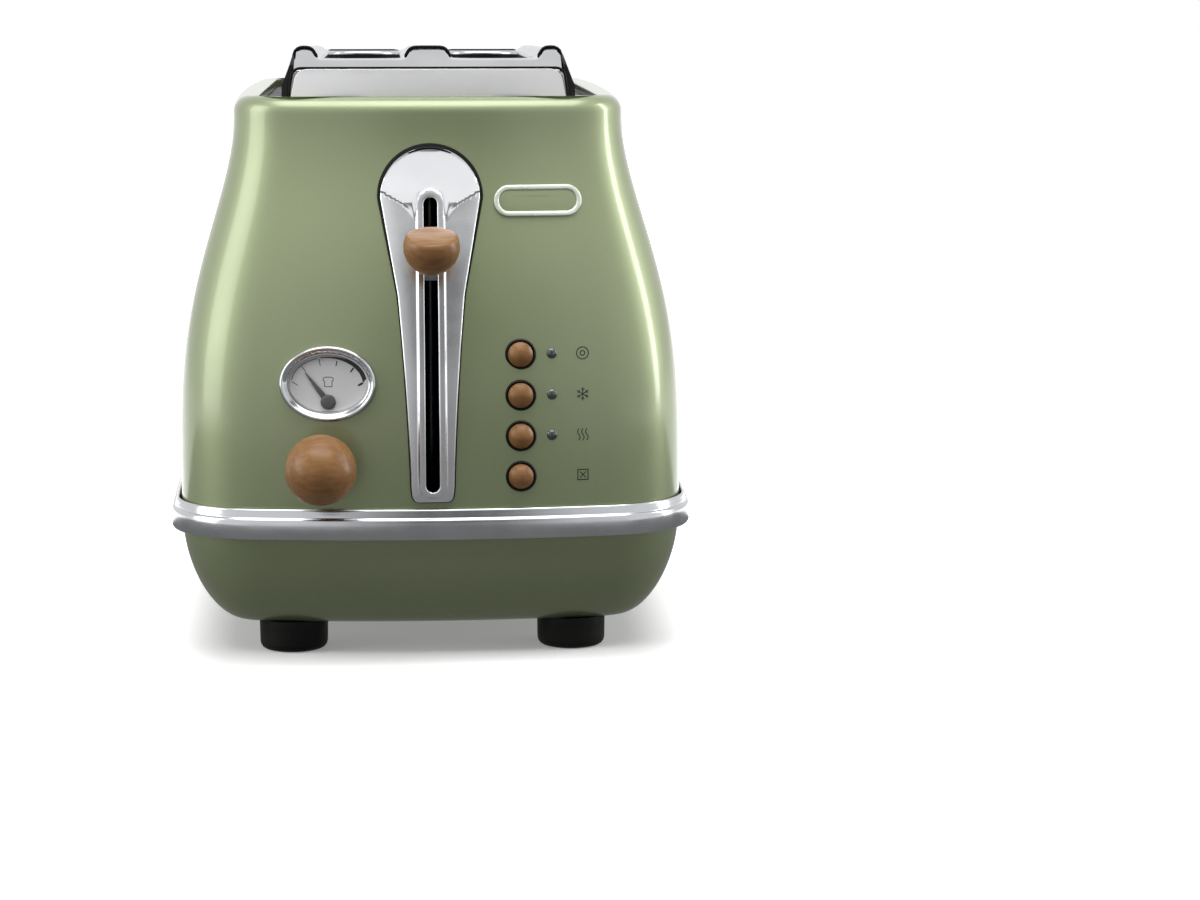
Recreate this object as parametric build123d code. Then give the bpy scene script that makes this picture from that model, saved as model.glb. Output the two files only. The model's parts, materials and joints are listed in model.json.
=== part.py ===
from build123d import *
import math
import os

# Two-slice toaster with a flared casing, in millimetres, +Z up, front towards -Y.
# The origin lies on the table, at the middle of the whole toaster's outline.

# Overall form
body_width = 200.0  # across the trim band
body_length = 286.0  # front of the trim band to its back
foot_height = 12.0
tub_height = 36.5  # from the feet to the band's flange
shell_height = 158.4  # from the band's flange to the rim
front_bow = 5.0  # how far the front and back faces bulge
side_bow = 2.0  # how far the side faces bulge
corner_low = 32.0  # upright corners at the band
corner_high = 24.0  # upright corners at the rim

# Shell
shell_wall = 1.2
rim_radius = 6.0
side_flare = 21.5  # how far each side leans in towards the top
end_flare = 18.3  # how far the front and back lean in
flare_foot = 11.0  # height above the band where the lean starts
flare_span = 140.0
flare_power = 1.654
rim_width = 8.0  # flat and rounded rim, from the front face to the opening
opening_half_width = 63.0
opening_corner = 16.0
lip_depth = 7.0  # turned-down edge of the opening

# Trim band and base tub
trim_proud = 4.0  # band beyond the shell
trim_gap = 0.9  # dark gap between the shell and the band
flange_thickness = 1.5
band_drop = 1.5  # part of the band that hangs over the tub
band_rise = 8.5  # part of the band that stands beside the shell
tub_wall = 2.5
tub_inset = 0.3  # tub's top edge inside the shell's face
tub_curve = 20.6  # how far the tub draws in at its bottom
tub_power = 1.7
foot_diameter = 26.0
foot_rounding = 2.5
foot_spread = 52.7  # feet from the middle, across
foot_setback = 38.0  # feet behind the band's front
boss_diameter = 9.0
boss_height = 8.0
foot_screw_diameter = 3.5
foot_screw_recess = 5.0
foot_recess_diameter = 8.0
screw_head_share = 0.6  # a screw's head, as a share of its diameter
vent_width = 3.0
vent_length = 34.0
vent_pitch = 9.0
vent_count = 7

# Lever, its plate and its slot
skin_gap = 0.05  # between the shell and what is fixed on its face
plate_proud = 2.2
plate_head_radius = 18.3
plate_head_drop = 0.2  # middle of the head below the slot's top
plate_taper_height = 137.0
plate_taper_half = 12.2
plate_waist_height = 98.0
plate_waist_half = 9.3
plate_toe_height = 66.0
plate_toe_half = 7.9
plate_bottom_half = 7.6
plate_bottom = 61.0
plate_toe_rounding = 2.5
gasket_margin = 1.0
gasket_proud = 0.9
slot_width = 5.0
slot_over = 2.0  # free slot above the arm when the lever is lifted
slot_under = 5.4  # free slot below the arm when the lever is down
slot_margin = 0.5  # shell's and liner's slots beyond the plate's
slot_rim_width = 2.2
slot_rim_proud = 1.0
liner_half_width = 7.0
liner_wall = 1.2
liner_end = 4.0  # liner beyond the slot's ends
lever_height = 156.2  # middle of the knob at rest
lever_knob_diameter = 20.4
lever_knob_flat = 4.4  # height of the flat top above the knob's middle
lever_knob_tilt = 17.5
lever_knob_rounding = 0.8
lever_knob_gap = 2.0  # from the plate to the knob when the lever is down
lever_arm_socket = 1.0  # arm's front end behind the knob's middle
lever_arm_thickness = 3.0
lever_arm_height = 8.0
lever_travel = 82.0
lever_lift = 10.0

# Browning gauge and knob
gauge_x = -38.0
gauge_height = 104.8
gauge_width = 35.8
gauge_tall = 28.0
bezel_rim = 2.1
bezel_proud = 2.8
housing_wall = 1.2
housing_depth = 12.0
needle_drop = 6.8  # needle's axis below the gauge's middle
needle_length = 13.5
needle_tail = 3.0
needle_width = 1.1
needle_tip = 0.3
needle_thickness = 0.4
needle_lift = 0.3  # from the gauge's face to the needle
needle_angle = 38.0  # from upright, to the left, at rest
hub_diameter = 5.6
hub_thickness = 0.9
needle_shaft_diameter = 1.6
lens_thickness = 0.8
lens_sink = 0.6  # lens below the bezel's front
face_level = -0.6  # gauge's face from the dial's plane
face_thickness = 0.6
face_peg_x = 6.0
face_peg_height = 2.0
face_peg_diameter = 3.0
carrier_thickness = 1.2
carrier_margin = 4.0
knob_x = -39.3
knob_height = 74.0
browning_diameter = 26.0
knob_stand_off = 2.2  # from the shell to the ball
knob_flat = 0.6  # depth of the ball's flat back
shaft_socket = 12.0  # shaft inside the ball
shaft_diameter = 6.0
collar_diameter = 11.0
collar_proud = 1.6
pot_size = 16.0
pot_depth = 7.0
small_pulley_diameter = 7.4
pulley_ratio = 2.7
pulley_width = 2.0
pulley_gap = 0.8
belt_thickness = 0.8
belt_gap = 0.2

# Buttons, lights and badge
button_x = 32.5
button_heights = (115.0, 100.0, 85.0, 70.0)
button_names = ("bagel_button", "defrost_button", "reheat_button", "cancel_button")
button_diameter = 9.2
button_proud = 3.8
button_dome = 2.6
button_skirt = 4.5
button_travel = 2.5
button_stem_diameter = 4.0
ring_diameter = 11.5
ring_body_diameter = 10.6
ring_proud = 0.8
ring_depth = 3.2
light_x = 44.0
light_diameter = 4.0
light_pipe_diameter = 3.4
light_proud = 0.8
badge_x = 39.7
badge_height = 170.6
badge_width = 32.6
badge_tall = 11.4
badge_proud = 1.3
badge_border = 1.2
badge_sink = 0.5  # field below the raised border

# Control board
board_depth = 26.0  # front of the board behind the band's front
board_thickness = 1.6
board_left = 22.0
board_right = 61.0
board_bottom = 58.0
board_top = 126.0
switch_size = 6.0
switch_depth = 3.5
standoff_diameter = 6.0
standoff_inset = 3.5
standoff_gap = 2.0  # from the carriage to the nearest standoff

# Toasting chamber
chamber_front = 52.0  # front plate's face behind the band's front
chamber_length = 160.0
sheet = 1.0
plate_half_width = 60.0
slot_centre = 25.0
slot_opening = 30.0
slot_length = 150.0
slot_corner = 12.0
reflector_x = 49.0
reflector_thickness = 0.6
outer_heater_x = 45.6
inner_heater_x = 4.0
mica_thickness = 0.8
ribbon_width = 1.6
ribbon_thickness = 0.3
ribbon_count = 9
ribbon_end = 6.0  # bare mica at the ribbons' ends
heater_bottom = 50.0
heater_top = 196.0
reflector_bottom = 42.0
reflector_top = 200.0
plate_flange = 8.0  # end plates' feet, across
plate_foot = 9.5  # end plates' feet, along
plate_screw_head = 6.0
plate_screw_tall = 2.0
guard_spread = 13.5  # guard wires from the slot's middle
guard_wire = 2.0
guard_bar_wire = 1.6
guard_bars = 7
guard_hinge_height = 54.0
guard_top = 186.0
end_gap = 3.0  # lifters and guards from the end plates

# Carriage
carriage_drop = 6.0  # carriage's middle below the lever's arm
carriage_depth = 30.0
carriage_sheet = 1.5
carriage_half_width = 28.0
carriage_height = 20.0
rod_diameter = 6.0
rod_depth = 37.5
bush_diameter = 11.0
bush_height = 18.0
bush_web = 6.0
lifter_drop = 9.2  # top of the bread lifters below the lever's arm
lifter_width = 14.0
lifter_thickness = 1.2
lifter_rib = 8.0
lifter_rib_width = 2.0
lifter_tail = 4.0  # lifter beyond the rear plate
lifter_play = 1.5  # free guide slot above and below the lifter
bracket_thickness = 2.0
bracket_left = -22.0
bracket_right = 12.0
bracket_reach = 8.0  # bracket in front of the rod
bracket_flange = 8.0
lower_bracket_height = 44.0
upper_bracket_height = 190.0
spring_x = -14.0
spring_diameter = 7.0
spring_wire = 0.9
spring_turns = 13
spring_seat_drop = 4.0  # spring's seat below the lever's arm
spring_tab = 8.0
spring_tab_reach = 5.0
magnet_left = 13.5
magnet_width = 9.0
magnet_tall = 13.0
magnet_gap = 0.4
core_width = 5.0
core_tall = 2.5
armature_reach = 8.0

# Cover, its fascias and the collar
cover_start = 33.0  # cover's front behind the band's front
cover_wall = 1.0
cover_base_half = 51.5
cover_shoulder_half = 49.6
shoulder_drop = 3.0  # outer edge below the shoulder's top
cover_open = 5.0  # hollow beyond the cover's open underside
shoulder_outer = 47.6
shoulder_inner = 44.0
shoulder_foot = 41.4
rail_half = 6.6
rail_foot = 8.8
plateau_height = 13.6  # above the rim
rail_height = 18.6  # above the rim
ramp_height = 9.6  # where the front ramp starts, above the rim
ramp_length = 17.0
lip_wall = 0.8
lip_length = 15.0
fascia_thickness = 1.2
fascia_height = 10.1  # above the rim
fascia_top_half = 48.8
fascia_corner = 5.0
collar_drop = 5.4  # collar's underside below the rim
collar_thickness = 2.0
collar_ledge = 3.5
cheek_thickness = 2.8
cheek_gap = 0.2
cheek_lean = 0.4
cheek_bend = 4.0  # above the rim
cheek_shoulder = 6.0  # below the shoulders' top
cheek_top_drop = 1.6  # below the shoulders' top

# Crumb tray, runners, grommet and terminal block
tray_half_width = 47.0
tray_lift = 2.5  # tray's floor above the tub's floor
tray_sheet = 0.8
tray_wall_height = 6.0
tray_front_gap = 2.0
tray_setback = 22.0  # tray's back edge in front of the band's back
tray_play = 1.0  # rear plate's opening round the tray
tray_panel_half = 51.0
tray_panel_bottom = 16.4
tray_panel_top = 29.6
tray_panel_gap = 0.4
tray_grip_half = 26.0
tray_grip_start = 13.0  # grip's root in front of the band's back
tray_grip_reach = 8.0
tray_grip_thickness = 3.0
tray_grip_rise = 2.0
tray_grip_corner = 3.0
tongue_inset = 6.0
tongue_end = 11.0
tongue_margin = 1.0
runner_width = 6.0
grommet_x = -40.0
grommet_height = 38.5
grommet_diameter = 14.0
grommet_bore = 7.0
grommet_length = 13.0
grommet_proud = 3.0
grommet_flange = 16.4
flange_inside = 6.5  # grommet's inner flange behind the tub's face
flange_tall = 2.5
terminal_inset = 29.0  # terminal block's middle inside the shell's side
terminal_setback = 60.0  # terminal block in front of the band's back
terminal_size = (12.0, 20.0, 14.0)

# Running clearances
fit = 0.3  # between pieces that move past each other
snug = 0.1  # between a pin and its hole
past = 5.0  # cuts run this far past what they cut
sink = 0.5  # forms that are joined run this far into each other

# Levels and places worked out from the values above
slot_top = lever_height + lever_lift + lever_arm_height / 2 + slot_over
slot_bottom = lever_height - lever_travel - lever_arm_height / 2 - slot_under
plate_head_height = slot_top - plate_head_drop
lifter_height = lever_height - lifter_drop
spring_seat = lever_height - spring_seat_drop
terminal_x = terminal_inset + trim_proud - body_width / 2
tub_floor = foot_height + tub_wall
tub_top = foot_height + tub_height
shell_bottom = tub_top + flange_thickness
shell_top = shell_bottom + shell_height
shell_half_width = body_width / 2 - trim_proud
shell_half_length = body_length / 2 - trim_proud
flare_start = shell_bottom + flare_foot
collar_bottom = shell_top - collar_drop
cover_bottom = collar_bottom + collar_thickness
plateau = shell_top + plateau_height
rail_top = shell_top + rail_height
opening_half_length = body_length / 2 - (trim_proud + end_flare + rim_width)


def flare_share(height):
    """How far the shell has leaned in at a height, from 0 at its foot to 1 at its rim."""
    climb = min(max((height - flare_start) / flare_span, 0.0), 1.0) ** flare_power
    return climb * climb * (3 - 2 * climb)


def arc_radius(half_chord, bow):
    """Radius of an arc that bulges by bow over a chord."""
    return (half_chord**2 + bow**2) / (2 * bow)


def shell_sizes(height):
    """Half width, half length and corner radius of the shell at a height."""
    share = flare_share(height)
    return (
        shell_half_width - side_flare * share,
        shell_half_length - end_flare * share,
        corner_low - (corner_low - corner_high) * share,
    )


def face_depth(x, height):
    """How far the shell's front face lies behind the band's front at a place on it."""
    half_width, half_length, corner = shell_sizes(height)
    radius = arc_radius(half_width - corner, front_bow)
    return body_length / 2 - half_length + radius - math.sqrt(radius**2 - x**2)


def face_normal(x, height):
    """Direction straight out of the shell's front face at a place on it."""
    half_width, half_length, corner = shell_sizes(height)
    radius = arc_radius(half_width - corner, front_bow)
    rise = face_depth(x, height + 0.5) - face_depth(x, height - 0.5)
    return Vector(x / radius, -math.sqrt(1 - (x / radius) ** 2), rise).normalized()


# The browning knob or the lever's knob stands furthest forward, and the band is furthest back.
dial_normal = face_normal(gauge_x, gauge_height)
browning_radius = browning_diameter / 2
browning_depth = face_depth(knob_x, knob_height) + dial_normal.Y * (knob_stand_off + browning_radius)
lever_knob_radius = lever_knob_diameter / 2
plate_depth = face_depth(0, slot_bottom) - plate_proud - slot_rim_proud
lever_knob_depth = plate_depth - lever_knob_gap - lever_knob_radius
front_reach = max(browning_radius - browning_depth, lever_knob_radius - lever_knob_depth)
middle_y = front_reach / 2
front_y = middle_y - body_length / 2
chamber_y = front_y + chamber_front
chamber_back_y = chamber_y + chamber_length


def outline(half_width, half_length, corner, grow, height):
    """Rounded rectangle with bowed sides, evenly grown, as a flat face at a height."""
    front_radius = arc_radius(half_width - corner, front_bow)
    side_radius = arc_radius(half_length - corner, side_bow)
    front_centre = Vector(0, front_radius - half_length)
    side_centre = Vector(half_width - side_radius, 0)
    across = side_centre - front_centre
    along = (front_radius - corner) ** 2 - (side_radius - corner) ** 2 + across.length**2
    along = along / (2 * across.length)
    away = math.sqrt((front_radius - corner) ** 2 - along**2)
    step = across.normalized()
    corner_centre = front_centre + step * along + Vector(-step.Y, step.X) * away
    front_way = (corner_centre - front_centre).normalized()
    side_way = (corner_centre - side_centre).normalized()
    front_end = front_centre + front_way * (front_radius + grow)
    side_end = side_centre + side_way * (side_radius + grow)
    corner_middle = corner_centre + (front_way + side_way).normalized() * (corner + grow)

    def place(point, flip_x, flip_y):
        return (point.X * flip_x, middle_y + point.Y * flip_y, height)

    front_middle = Vector(0, -half_length - grow)
    side_middle = Vector(half_width + grow, 0)
    edges = []
    for end_flip in (1, -1):
        edges.append(
            ThreePointArc(
                place(front_end, -end_flip, end_flip),
                place(front_middle, 1, end_flip),
                place(front_end, end_flip, end_flip),
            )
        )
        edges.append(
            ThreePointArc(
                place(front_end, end_flip, end_flip),
                place(corner_middle, end_flip, end_flip),
                place(side_end, end_flip, end_flip),
            )
        )
        edges.append(
            ThreePointArc(
                place(side_end, end_flip, end_flip),
                place(side_middle, end_flip, end_flip),
                place(side_end, end_flip, -end_flip),
            )
        )
        edges.append(
            ThreePointArc(
                place(side_end, end_flip, -end_flip),
                place(corner_middle, end_flip, -end_flip),
                place(front_end, end_flip, -end_flip),
            )
        )
    return Face(Wire(edges))


def shell_section(height, grow=0.0):
    """Outline of the shell at a height, evenly grown."""
    half_width, half_length, corner = shell_sizes(height)
    return outline(half_width, half_length, corner, grow, height)


def shell_walls(grow, low, high):
    """Solid form inside the shell's walls, between two heights."""
    steps = 10  # sections of the loft
    heights = [low + (high - low) * index / steps for index in range(steps + 1)]
    return loft([shell_section(height, grow) for height in heights])


def shell_form(grow, low):
    """Solid form of the shell up to its rounded rim, evenly grown."""
    radius = rim_radius + grow
    high = shell_top + grow - radius
    turns = [math.radians(22.5 * index) for index in range(5)]
    rim = loft(
        [
            shell_section(high + radius * math.sin(turn), grow - radius * (1 - math.cos(turn)))
            for turn in turns
        ]
    )
    return shell_walls(grow, low, high) + rim


def front_face_y(x, height):
    """Y of the shell's front face at a place on it."""
    return front_y + face_depth(x, height)


def block(x, y, z):
    """Box between three pairs of limits."""
    low = Vector(x[0], y[0], z[0])
    high = Vector(x[1], y[1], z[1])
    size = high - low
    return Pos(*((low + high) / 2)) * Box(size.X, size.Y, size.Z)


def front_prism(shape, start, end):
    """Prism of a shape drawn in X and Z, between two places along Y."""
    return extrude(Plane.XZ.offset(-end) * shape, end - start)


def rod_y(x, height, diameter, start, end):
    """Round rod along Y."""
    return front_prism(Pos(x, height) * Circle(diameter / 2), start, end)


def rod_z(x, y, diameter, low, high):
    """Round rod along Z."""
    return Pos(x, y, low) * extrude(Circle(diameter / 2), high - low)


def slot_shape(width, low, high):
    """Upright slot with round ends, drawn in X and Z."""
    return Pos(0, (low + high) / 2) * SlotOverall(high - low, width, rotation=90)


def mirrored(shape):
    """The same shape on the other side of the toaster."""
    return mirror(shape, Plane.YZ)


# The dial's plane carries the gauge, its needle and the browning knob.
dial_across = Vector(-dial_normal.Y, dial_normal.X, 0).normalized()
dial_origin = (gauge_x, front_face_y(gauge_x, gauge_height), gauge_height)
dial_plane = Plane(origin=dial_origin, x_dir=dial_across, z_dir=dial_normal)
knob_spot = dial_plane.to_local_coords(Vector(knob_x, front_face_y(knob_x, knob_height), knob_height))
knob_plane = dial_plane * Pos(knob_spot.X, knob_spot.Y, 0)
knob_face = knob_spot.Z  # shell's face at the knob, from the dial's plane


def dial_rod(x, y, diameter, low, high):
    """Round rod square to the dial's plane, in that plane's own places."""
    return dial_plane * Pos(x, y, low) * extrude(Circle(diameter / 2), high - low)


def dial_ellipse(width, tall, low, high):
    """Oval block on the dial's plane."""
    return dial_plane * Pos(0, 0, low) * extrude(Ellipse(width / 2, tall / 2), high - low)


def make_outer_shell():
    """Flared casing with its rim, its opening and the holes in its front."""
    shell = shell_form(0, shell_bottom) - shell_form(-shell_wall, shell_bottom - past)
    opening = Rectangle(2 * opening_half_width, 2 * opening_half_length)
    opening = fillet(opening.vertices(), opening_corner)
    hole = Pos(0, middle_y, shell_top - lip_depth - past) * extrude(opening, lip_depth + 2 * past)
    ring = offset(opening, shell_wall) - opening
    lip = Pos(0, middle_y, shell_top - lip_depth) * extrude(ring, lip_depth - shell_wall / 2)
    shell = shell - hole + lip
    shell = shell - lever_slot(slot_margin)
    shell = shell - housing_oval(2 * fit, -housing_depth, past)
    shell = shell - dial_rod(knob_spot.X, knob_spot.Y, shaft_diameter + 2 * fit, -housing_depth, past)
    start = front_y - past
    end = front_y + board_depth
    for height in button_heights:
        shell = shell - rod_y(button_x, height, ring_body_diameter + 2 * snug, start, end)
    for height in button_heights[:3]:
        shell = shell - rod_y(light_x, height, light_pipe_diameter + 2 * snug, start, end)
    return shell


def make_trim_band():
    """Chrome band with a bevel, a step and a rounded main face, and the flange inside it."""
    base = tub_top - band_drop
    height = band_drop + flange_thickness + band_rise
    profile = (
        (0.0, trim_proud - 1.1),
        (0.1, trim_proud - 0.35),
        (0.26, trim_proud),
        (0.5, trim_proud - 0.05),
        (0.66, trim_proud - 0.3),
        (0.74, trim_proud - 0.8),
        (0.77, trim_proud - 1.4),
        (0.81, trim_proud - 1.3),
        (0.93, trim_proud - 1.7),
        (1.0, trim_proud - 2.3),
    )
    sizes = shell_sizes(shell_bottom)
    sections = [outline(*sizes, grow, base + height * share) for share, grow in profile]
    outer = loft(sections, ruled=True)
    above = extrude(outline(*sizes, trim_gap, shell_bottom), height)
    below = Pos(0, 0, -height) * extrude(outline(*sizes, snug, tub_top), height)
    through = Pos(0, 0, -height) * extrude(outline(*sizes, -tub_wall - tub_inset, tub_top), 3 * height)
    return outer - above - below - through


def tub_grow(height):
    """How far the tub draws in at a height."""
    share = min(max((tub_top - height) / tub_height, 0.0), 1.0)
    return -tub_inset - tub_curve * (1 - (1 - share**tub_power) ** (1 / tub_power))


def tub_form(inset, low):
    """Solid form of the tub, evenly shrunk, down to a height."""
    sizes = shell_sizes(shell_bottom)
    deep = (tub_top - low) / tub_height
    shares = [deep * math.sin(math.radians(11.25 * index)) for index in range(9)]
    heights = [tub_top - tub_height * share for share in shares]
    return loft([outline(*sizes, tub_grow(height) - inset, height) for height in heights])


def foot_places():
    """Middle of each foot, by name."""
    front = front_y + foot_setback
    back = front_y + body_length - foot_setback
    return {
        "front_left_foot": (-foot_spread, front),
        "front_right_foot": (foot_spread, front),
        "rear_left_foot": (-foot_spread, back),
        "rear_right_foot": (foot_spread, back),
    }


def tray_window(margin):
    """Block through the tub's back wall, where the tray's panel sits."""
    back = front_y + body_length
    half = tray_panel_half - margin
    return block(
        (-half, half),
        (back - 2 * tub_curve, back + past),
        (tray_panel_bottom + margin, tray_panel_top - margin),
    )


def make_base_tub():
    """Base with screw bosses, vents, the tray's opening and the grommet's hole."""
    tub = tub_form(0, foot_height) - tub_form(tub_wall, tub_floor)
    for x, y in foot_places().values():
        tub = tub + rod_z(x, y, boss_diameter, tub_floor - sink, tub_floor + boss_height)
        hole = foot_screw_diameter + 2 * snug
        tub = tub - rod_z(x, y, hole, foot_height - past, tub_floor + boss_height + past)
    for index in range(vent_count):
        x = (index - (vent_count - 1) / 2) * vent_pitch
        vent = Pos(x, middle_y) * SlotOverall(vent_length, vent_width, rotation=90)
        tub = tub - Pos(0, 0, foot_height - sink) * extrude(vent, tub_wall + 2 * sink)
    tub = tub - tray_window(0)
    back = front_y + body_length
    return tub - rod_y(grommet_x, grommet_height, grommet_diameter, back - tub_curve, back + past)


def make_foot(x, y):
    """Rubber foot with a recess for its screw."""
    foot = Cylinder(foot_diameter / 2, foot_height, align=(Align.CENTER, Align.CENTER, Align.MIN))
    foot = fillet(foot.edges().group_by(Axis.Z)[0], foot_rounding)
    foot = Pos(x, y, 0) * foot
    foot = foot - rod_z(x, y, foot_recess_diameter, -past, foot_screw_recess)
    return foot - rod_z(x, y, foot_screw_diameter + 2 * snug, 0, foot_height + past)


def make_screw(x, y, diameter, head_bottom, tip):
    """Upright screw with a round head below."""
    head_top = head_bottom + screw_head_share * diameter
    return rod_z(x, y, 2 * diameter, head_bottom, head_top) + rod_z(x, y, diameter, head_top, tip)


def make_foot_screws():
    """Four screws through the feet into the tub's bosses."""
    head_bottom = foot_screw_recess - screw_head_share * foot_screw_diameter
    tip = tub_floor + boss_height - sink
    return [make_screw(x, y, foot_screw_diameter, head_bottom, tip) for x, y in foot_places().values()]


def teardrop(margin):
    """Outline of the lever's plate, drawn in X and Z."""
    head = (plate_head_radius, plate_head_height)
    taper = (plate_taper_half, plate_taper_height)
    waist = (plate_waist_half, plate_waist_height)
    toe = (plate_toe_half, plate_toe_height)
    bottom = (plate_bottom_half, plate_bottom)
    edges = [ThreePointArc((-head[0], head[1]), (0, head[1] + plate_head_radius), head)]
    for side in (1, -1):
        points = [(side * x, height) for x, height in (head, taper, waist, toe, bottom)]
        edges.append(Line(points[0], points[1]))
        edges.append(ThreePointArc(points[1], points[2], points[3]))
        edges.append(Line(points[3], points[4]))
    edges.append(Line((-bottom[0], bottom[1]), bottom))
    drop = make_face(edges)
    drop = fillet(drop.vertices().sort_by(Axis.Y)[:2], plate_toe_rounding)
    return offset(drop, margin) if margin else drop


def on_front(shape, low, high):
    """Skin that follows the shell's front face between two offsets, cut to a shape."""
    prism = front_prism(shape, front_y - past, chamber_y)
    return (prism & face_form(high)) - face_form(low)


def face_form(grow):
    """Solid form behind the shell's upright faces, evenly grown."""
    return shell_walls(grow, shell_bottom, shell_top - rim_radius)


def lever_slot(margin):
    """Prism through everything that the lever's arm passes."""
    slot = slot_shape(slot_width + 2 * margin, slot_bottom - margin, slot_top + margin)
    return front_prism(slot, front_y - past, chamber_y - past)


def make_lever_plate():
    """Chrome plate on the front, with a raised rim round the slot."""
    plate = on_front(teardrop(0), skin_gap, plate_proud)
    rim = slot_shape(
        slot_width + 2 * slot_rim_width, slot_bottom - slot_rim_width / 2, slot_top + slot_rim_width
    )
    return plate + on_front(rim, plate_proud - sink, plate_proud + slot_rim_proud) - lever_slot(0)


def make_lever_gasket():
    """Dark line round the plate."""
    ring = teardrop(gasket_margin) - teardrop(skin_gap)
    return on_front(ring, skin_gap, gasket_proud)


def make_slot_liner():
    """Black strip behind the slot that keeps fingers out."""
    strip = slot_shape(2 * liner_half_width, slot_bottom - liner_end, slot_top + liner_end)
    return on_front(strip, -shell_wall - liner_wall, -shell_wall - skin_gap) - lever_slot(slot_margin)


def make_lever_knob():
    """Wooden ball with a flat top that leans forward, and a socket for the arm."""
    radius = lever_knob_radius
    above = Pos(0, 0, radius + lever_knob_flat) * Box(3 * radius, 3 * radius, 2 * radius)
    ball = Sphere(radius) - above
    ball = fillet(ball.edges().filter_by(GeomType.CIRCLE), lever_knob_rounding)
    ball = Pos(0, front_y + lever_knob_depth, lever_height) * Rot(lever_knob_tilt, 0, 0) * ball
    return ball - make_lever_arm()


def make_lever_arm():
    """Flat bar from inside the knob back to the carriage."""
    half = lever_arm_thickness / 2
    tall = lever_arm_height / 2
    return block(
        (-half, half),
        (front_y + lever_knob_depth + lever_arm_socket, front_y + carriage_depth),
        (lever_height - tall, lever_height + tall),
    )


def make_carriage():
    """Sheet plate with a bush on the guide rod, a spring tab and an armature."""
    face = front_y + carriage_depth
    back = face + carriage_sheet
    joined = back - sink
    middle = lever_height - carriage_drop
    low = middle - carriage_height / 2
    rod_place = front_y + rod_depth
    bush_span = (middle - bush_height / 2, middle + bush_height / 2)
    plate = block((-carriage_half_width, carriage_half_width), (face, back), (low, low + carriage_height))
    web = block((-bush_web / 2, bush_web / 2), (joined, rod_place), bush_span)
    bush = rod_z(0, rod_place, bush_diameter, *bush_span)
    bore = rod_z(0, rod_place, rod_diameter + 2 * snug, low - past, low + carriage_height + past)
    tab = block(
        (spring_x - spring_tab / 2, spring_x + spring_tab / 2),
        (joined, rod_place + spring_tab_reach),
        (spring_seat - carriage_sheet, spring_seat),
    )
    armature = block(
        (magnet_left, magnet_left + magnet_width),
        (joined, rod_place + armature_reach),
        (low, low + carriage_sheet),
    )
    return plate + web + bush + tab + armature - bore


def make_lift_spring():
    """Coiled spring that lifts the carriage, from its tab to the upper bracket."""
    height = upper_bracket_height - spring_seat - 2 * spring_wire
    radius = (spring_diameter - spring_wire) / 2
    path = Helix(pitch=height / spring_turns, height=height, radius=radius)
    section = Plane(origin=path @ 0, z_dir=path % 0) * Circle(spring_wire / 2)
    coil = sweep(section, path=path, is_frenet=True)
    return Pos(spring_x, front_y + rod_depth, spring_seat + spring_wire) * coil


def make_guide_rod():
    """Upright rod that the carriage slides on."""
    return rod_z(
        0,
        front_y + rod_depth,
        rod_diameter,
        lower_bracket_height - bracket_thickness,
        upper_bracket_height + 2 * bracket_thickness,
    )


def make_guide_brackets():
    """Lower and upper brackets that hold the guide rod, bent from sheet."""
    across = (bracket_left, bracket_right)
    along = (front_y + rod_depth - bracket_reach, chamber_y)
    behind = (chamber_y - bracket_thickness, chamber_y)
    low = lower_bracket_height - bracket_thickness
    lower = block(across, along, (low, lower_bracket_height))
    lower = lower + block(across, behind, (low - bracket_flange, lower_bracket_height))
    upper = block(across, along, (upper_bracket_height, upper_bracket_height + bracket_thickness))
    upper = upper + block(across, behind, (upper_bracket_height, upper_bracket_height + bracket_flange))
    hole = rod_z(0, front_y + rod_depth, rod_diameter + snug, low - past, upper_bracket_height + 2 * past)
    return [lower - hole, upper - hole]


def make_lifter():
    """Right bread lifter: a T-shaped bar from the carriage to the back plate."""
    start = front_y + carriage_depth + carriage_sheet
    rib = block(
        (slot_centre - lifter_rib_width / 2, slot_centre + lifter_rib_width / 2),
        (start, chamber_back_y + sheet + lifter_tail),
        (lifter_height - lifter_rib, lifter_height),
    )
    strip = block(
        (slot_centre - lifter_width / 2, slot_centre + lifter_width / 2),
        (chamber_y + sheet + end_gap, chamber_back_y - end_gap),
        (lifter_height - lifter_thickness, lifter_height),
    )
    return rib + strip


def make_chamber_plate(y, with_tray):
    """End plate of the toasting chamber, with guide slots and hinge holes."""
    plate = block((-plate_half_width, plate_half_width), (y, y + sheet), (tub_floor, collar_bottom))
    through = (y - sink, y + sheet + sink)
    low = lifter_height - lifter_rib - lever_travel - lifter_play
    high = lifter_height + lever_lift + lifter_play
    for side in (1, -1):
        x = side * slot_centre
        plate = plate - block((x - lifter_rib_width, x + lifter_rib_width), through, (low, high))
        for spread in (guard_spread, -guard_spread):
            plate = plate - rod_y(x + spread, guard_hinge_height, guard_wire + 2 * snug, *through)
    foot_along = (y - plate_foot, y + sink)
    if with_tray:
        half = tray_half_width + tray_play
        high = tub_floor + tray_lift + tray_wall_height + tray_play
        plate = plate - block((-half, half), through, (tub_floor - sink, high))
        foot_along = (y + sink, y + sheet + plate_foot)
    foot_across = (plate_half_width - plate_flange, plate_half_width)
    foot = block(foot_across, foot_along, (tub_floor, tub_floor + sheet))
    return plate + foot + mirrored(foot)


def make_plate_screws():
    """Four screws that hold the chamber's end plates to the tub's floor."""
    screws = []
    low = tub_floor + sheet
    for y in (chamber_y - plate_foot / 2, chamber_back_y + sheet + plate_foot / 2):
        for x in (-plate_half_width + plate_flange / 2, plate_half_width - plate_flange / 2):
            screws.append(rod_z(x, y, plate_screw_head, low, low + plate_screw_tall))
    return screws


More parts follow.
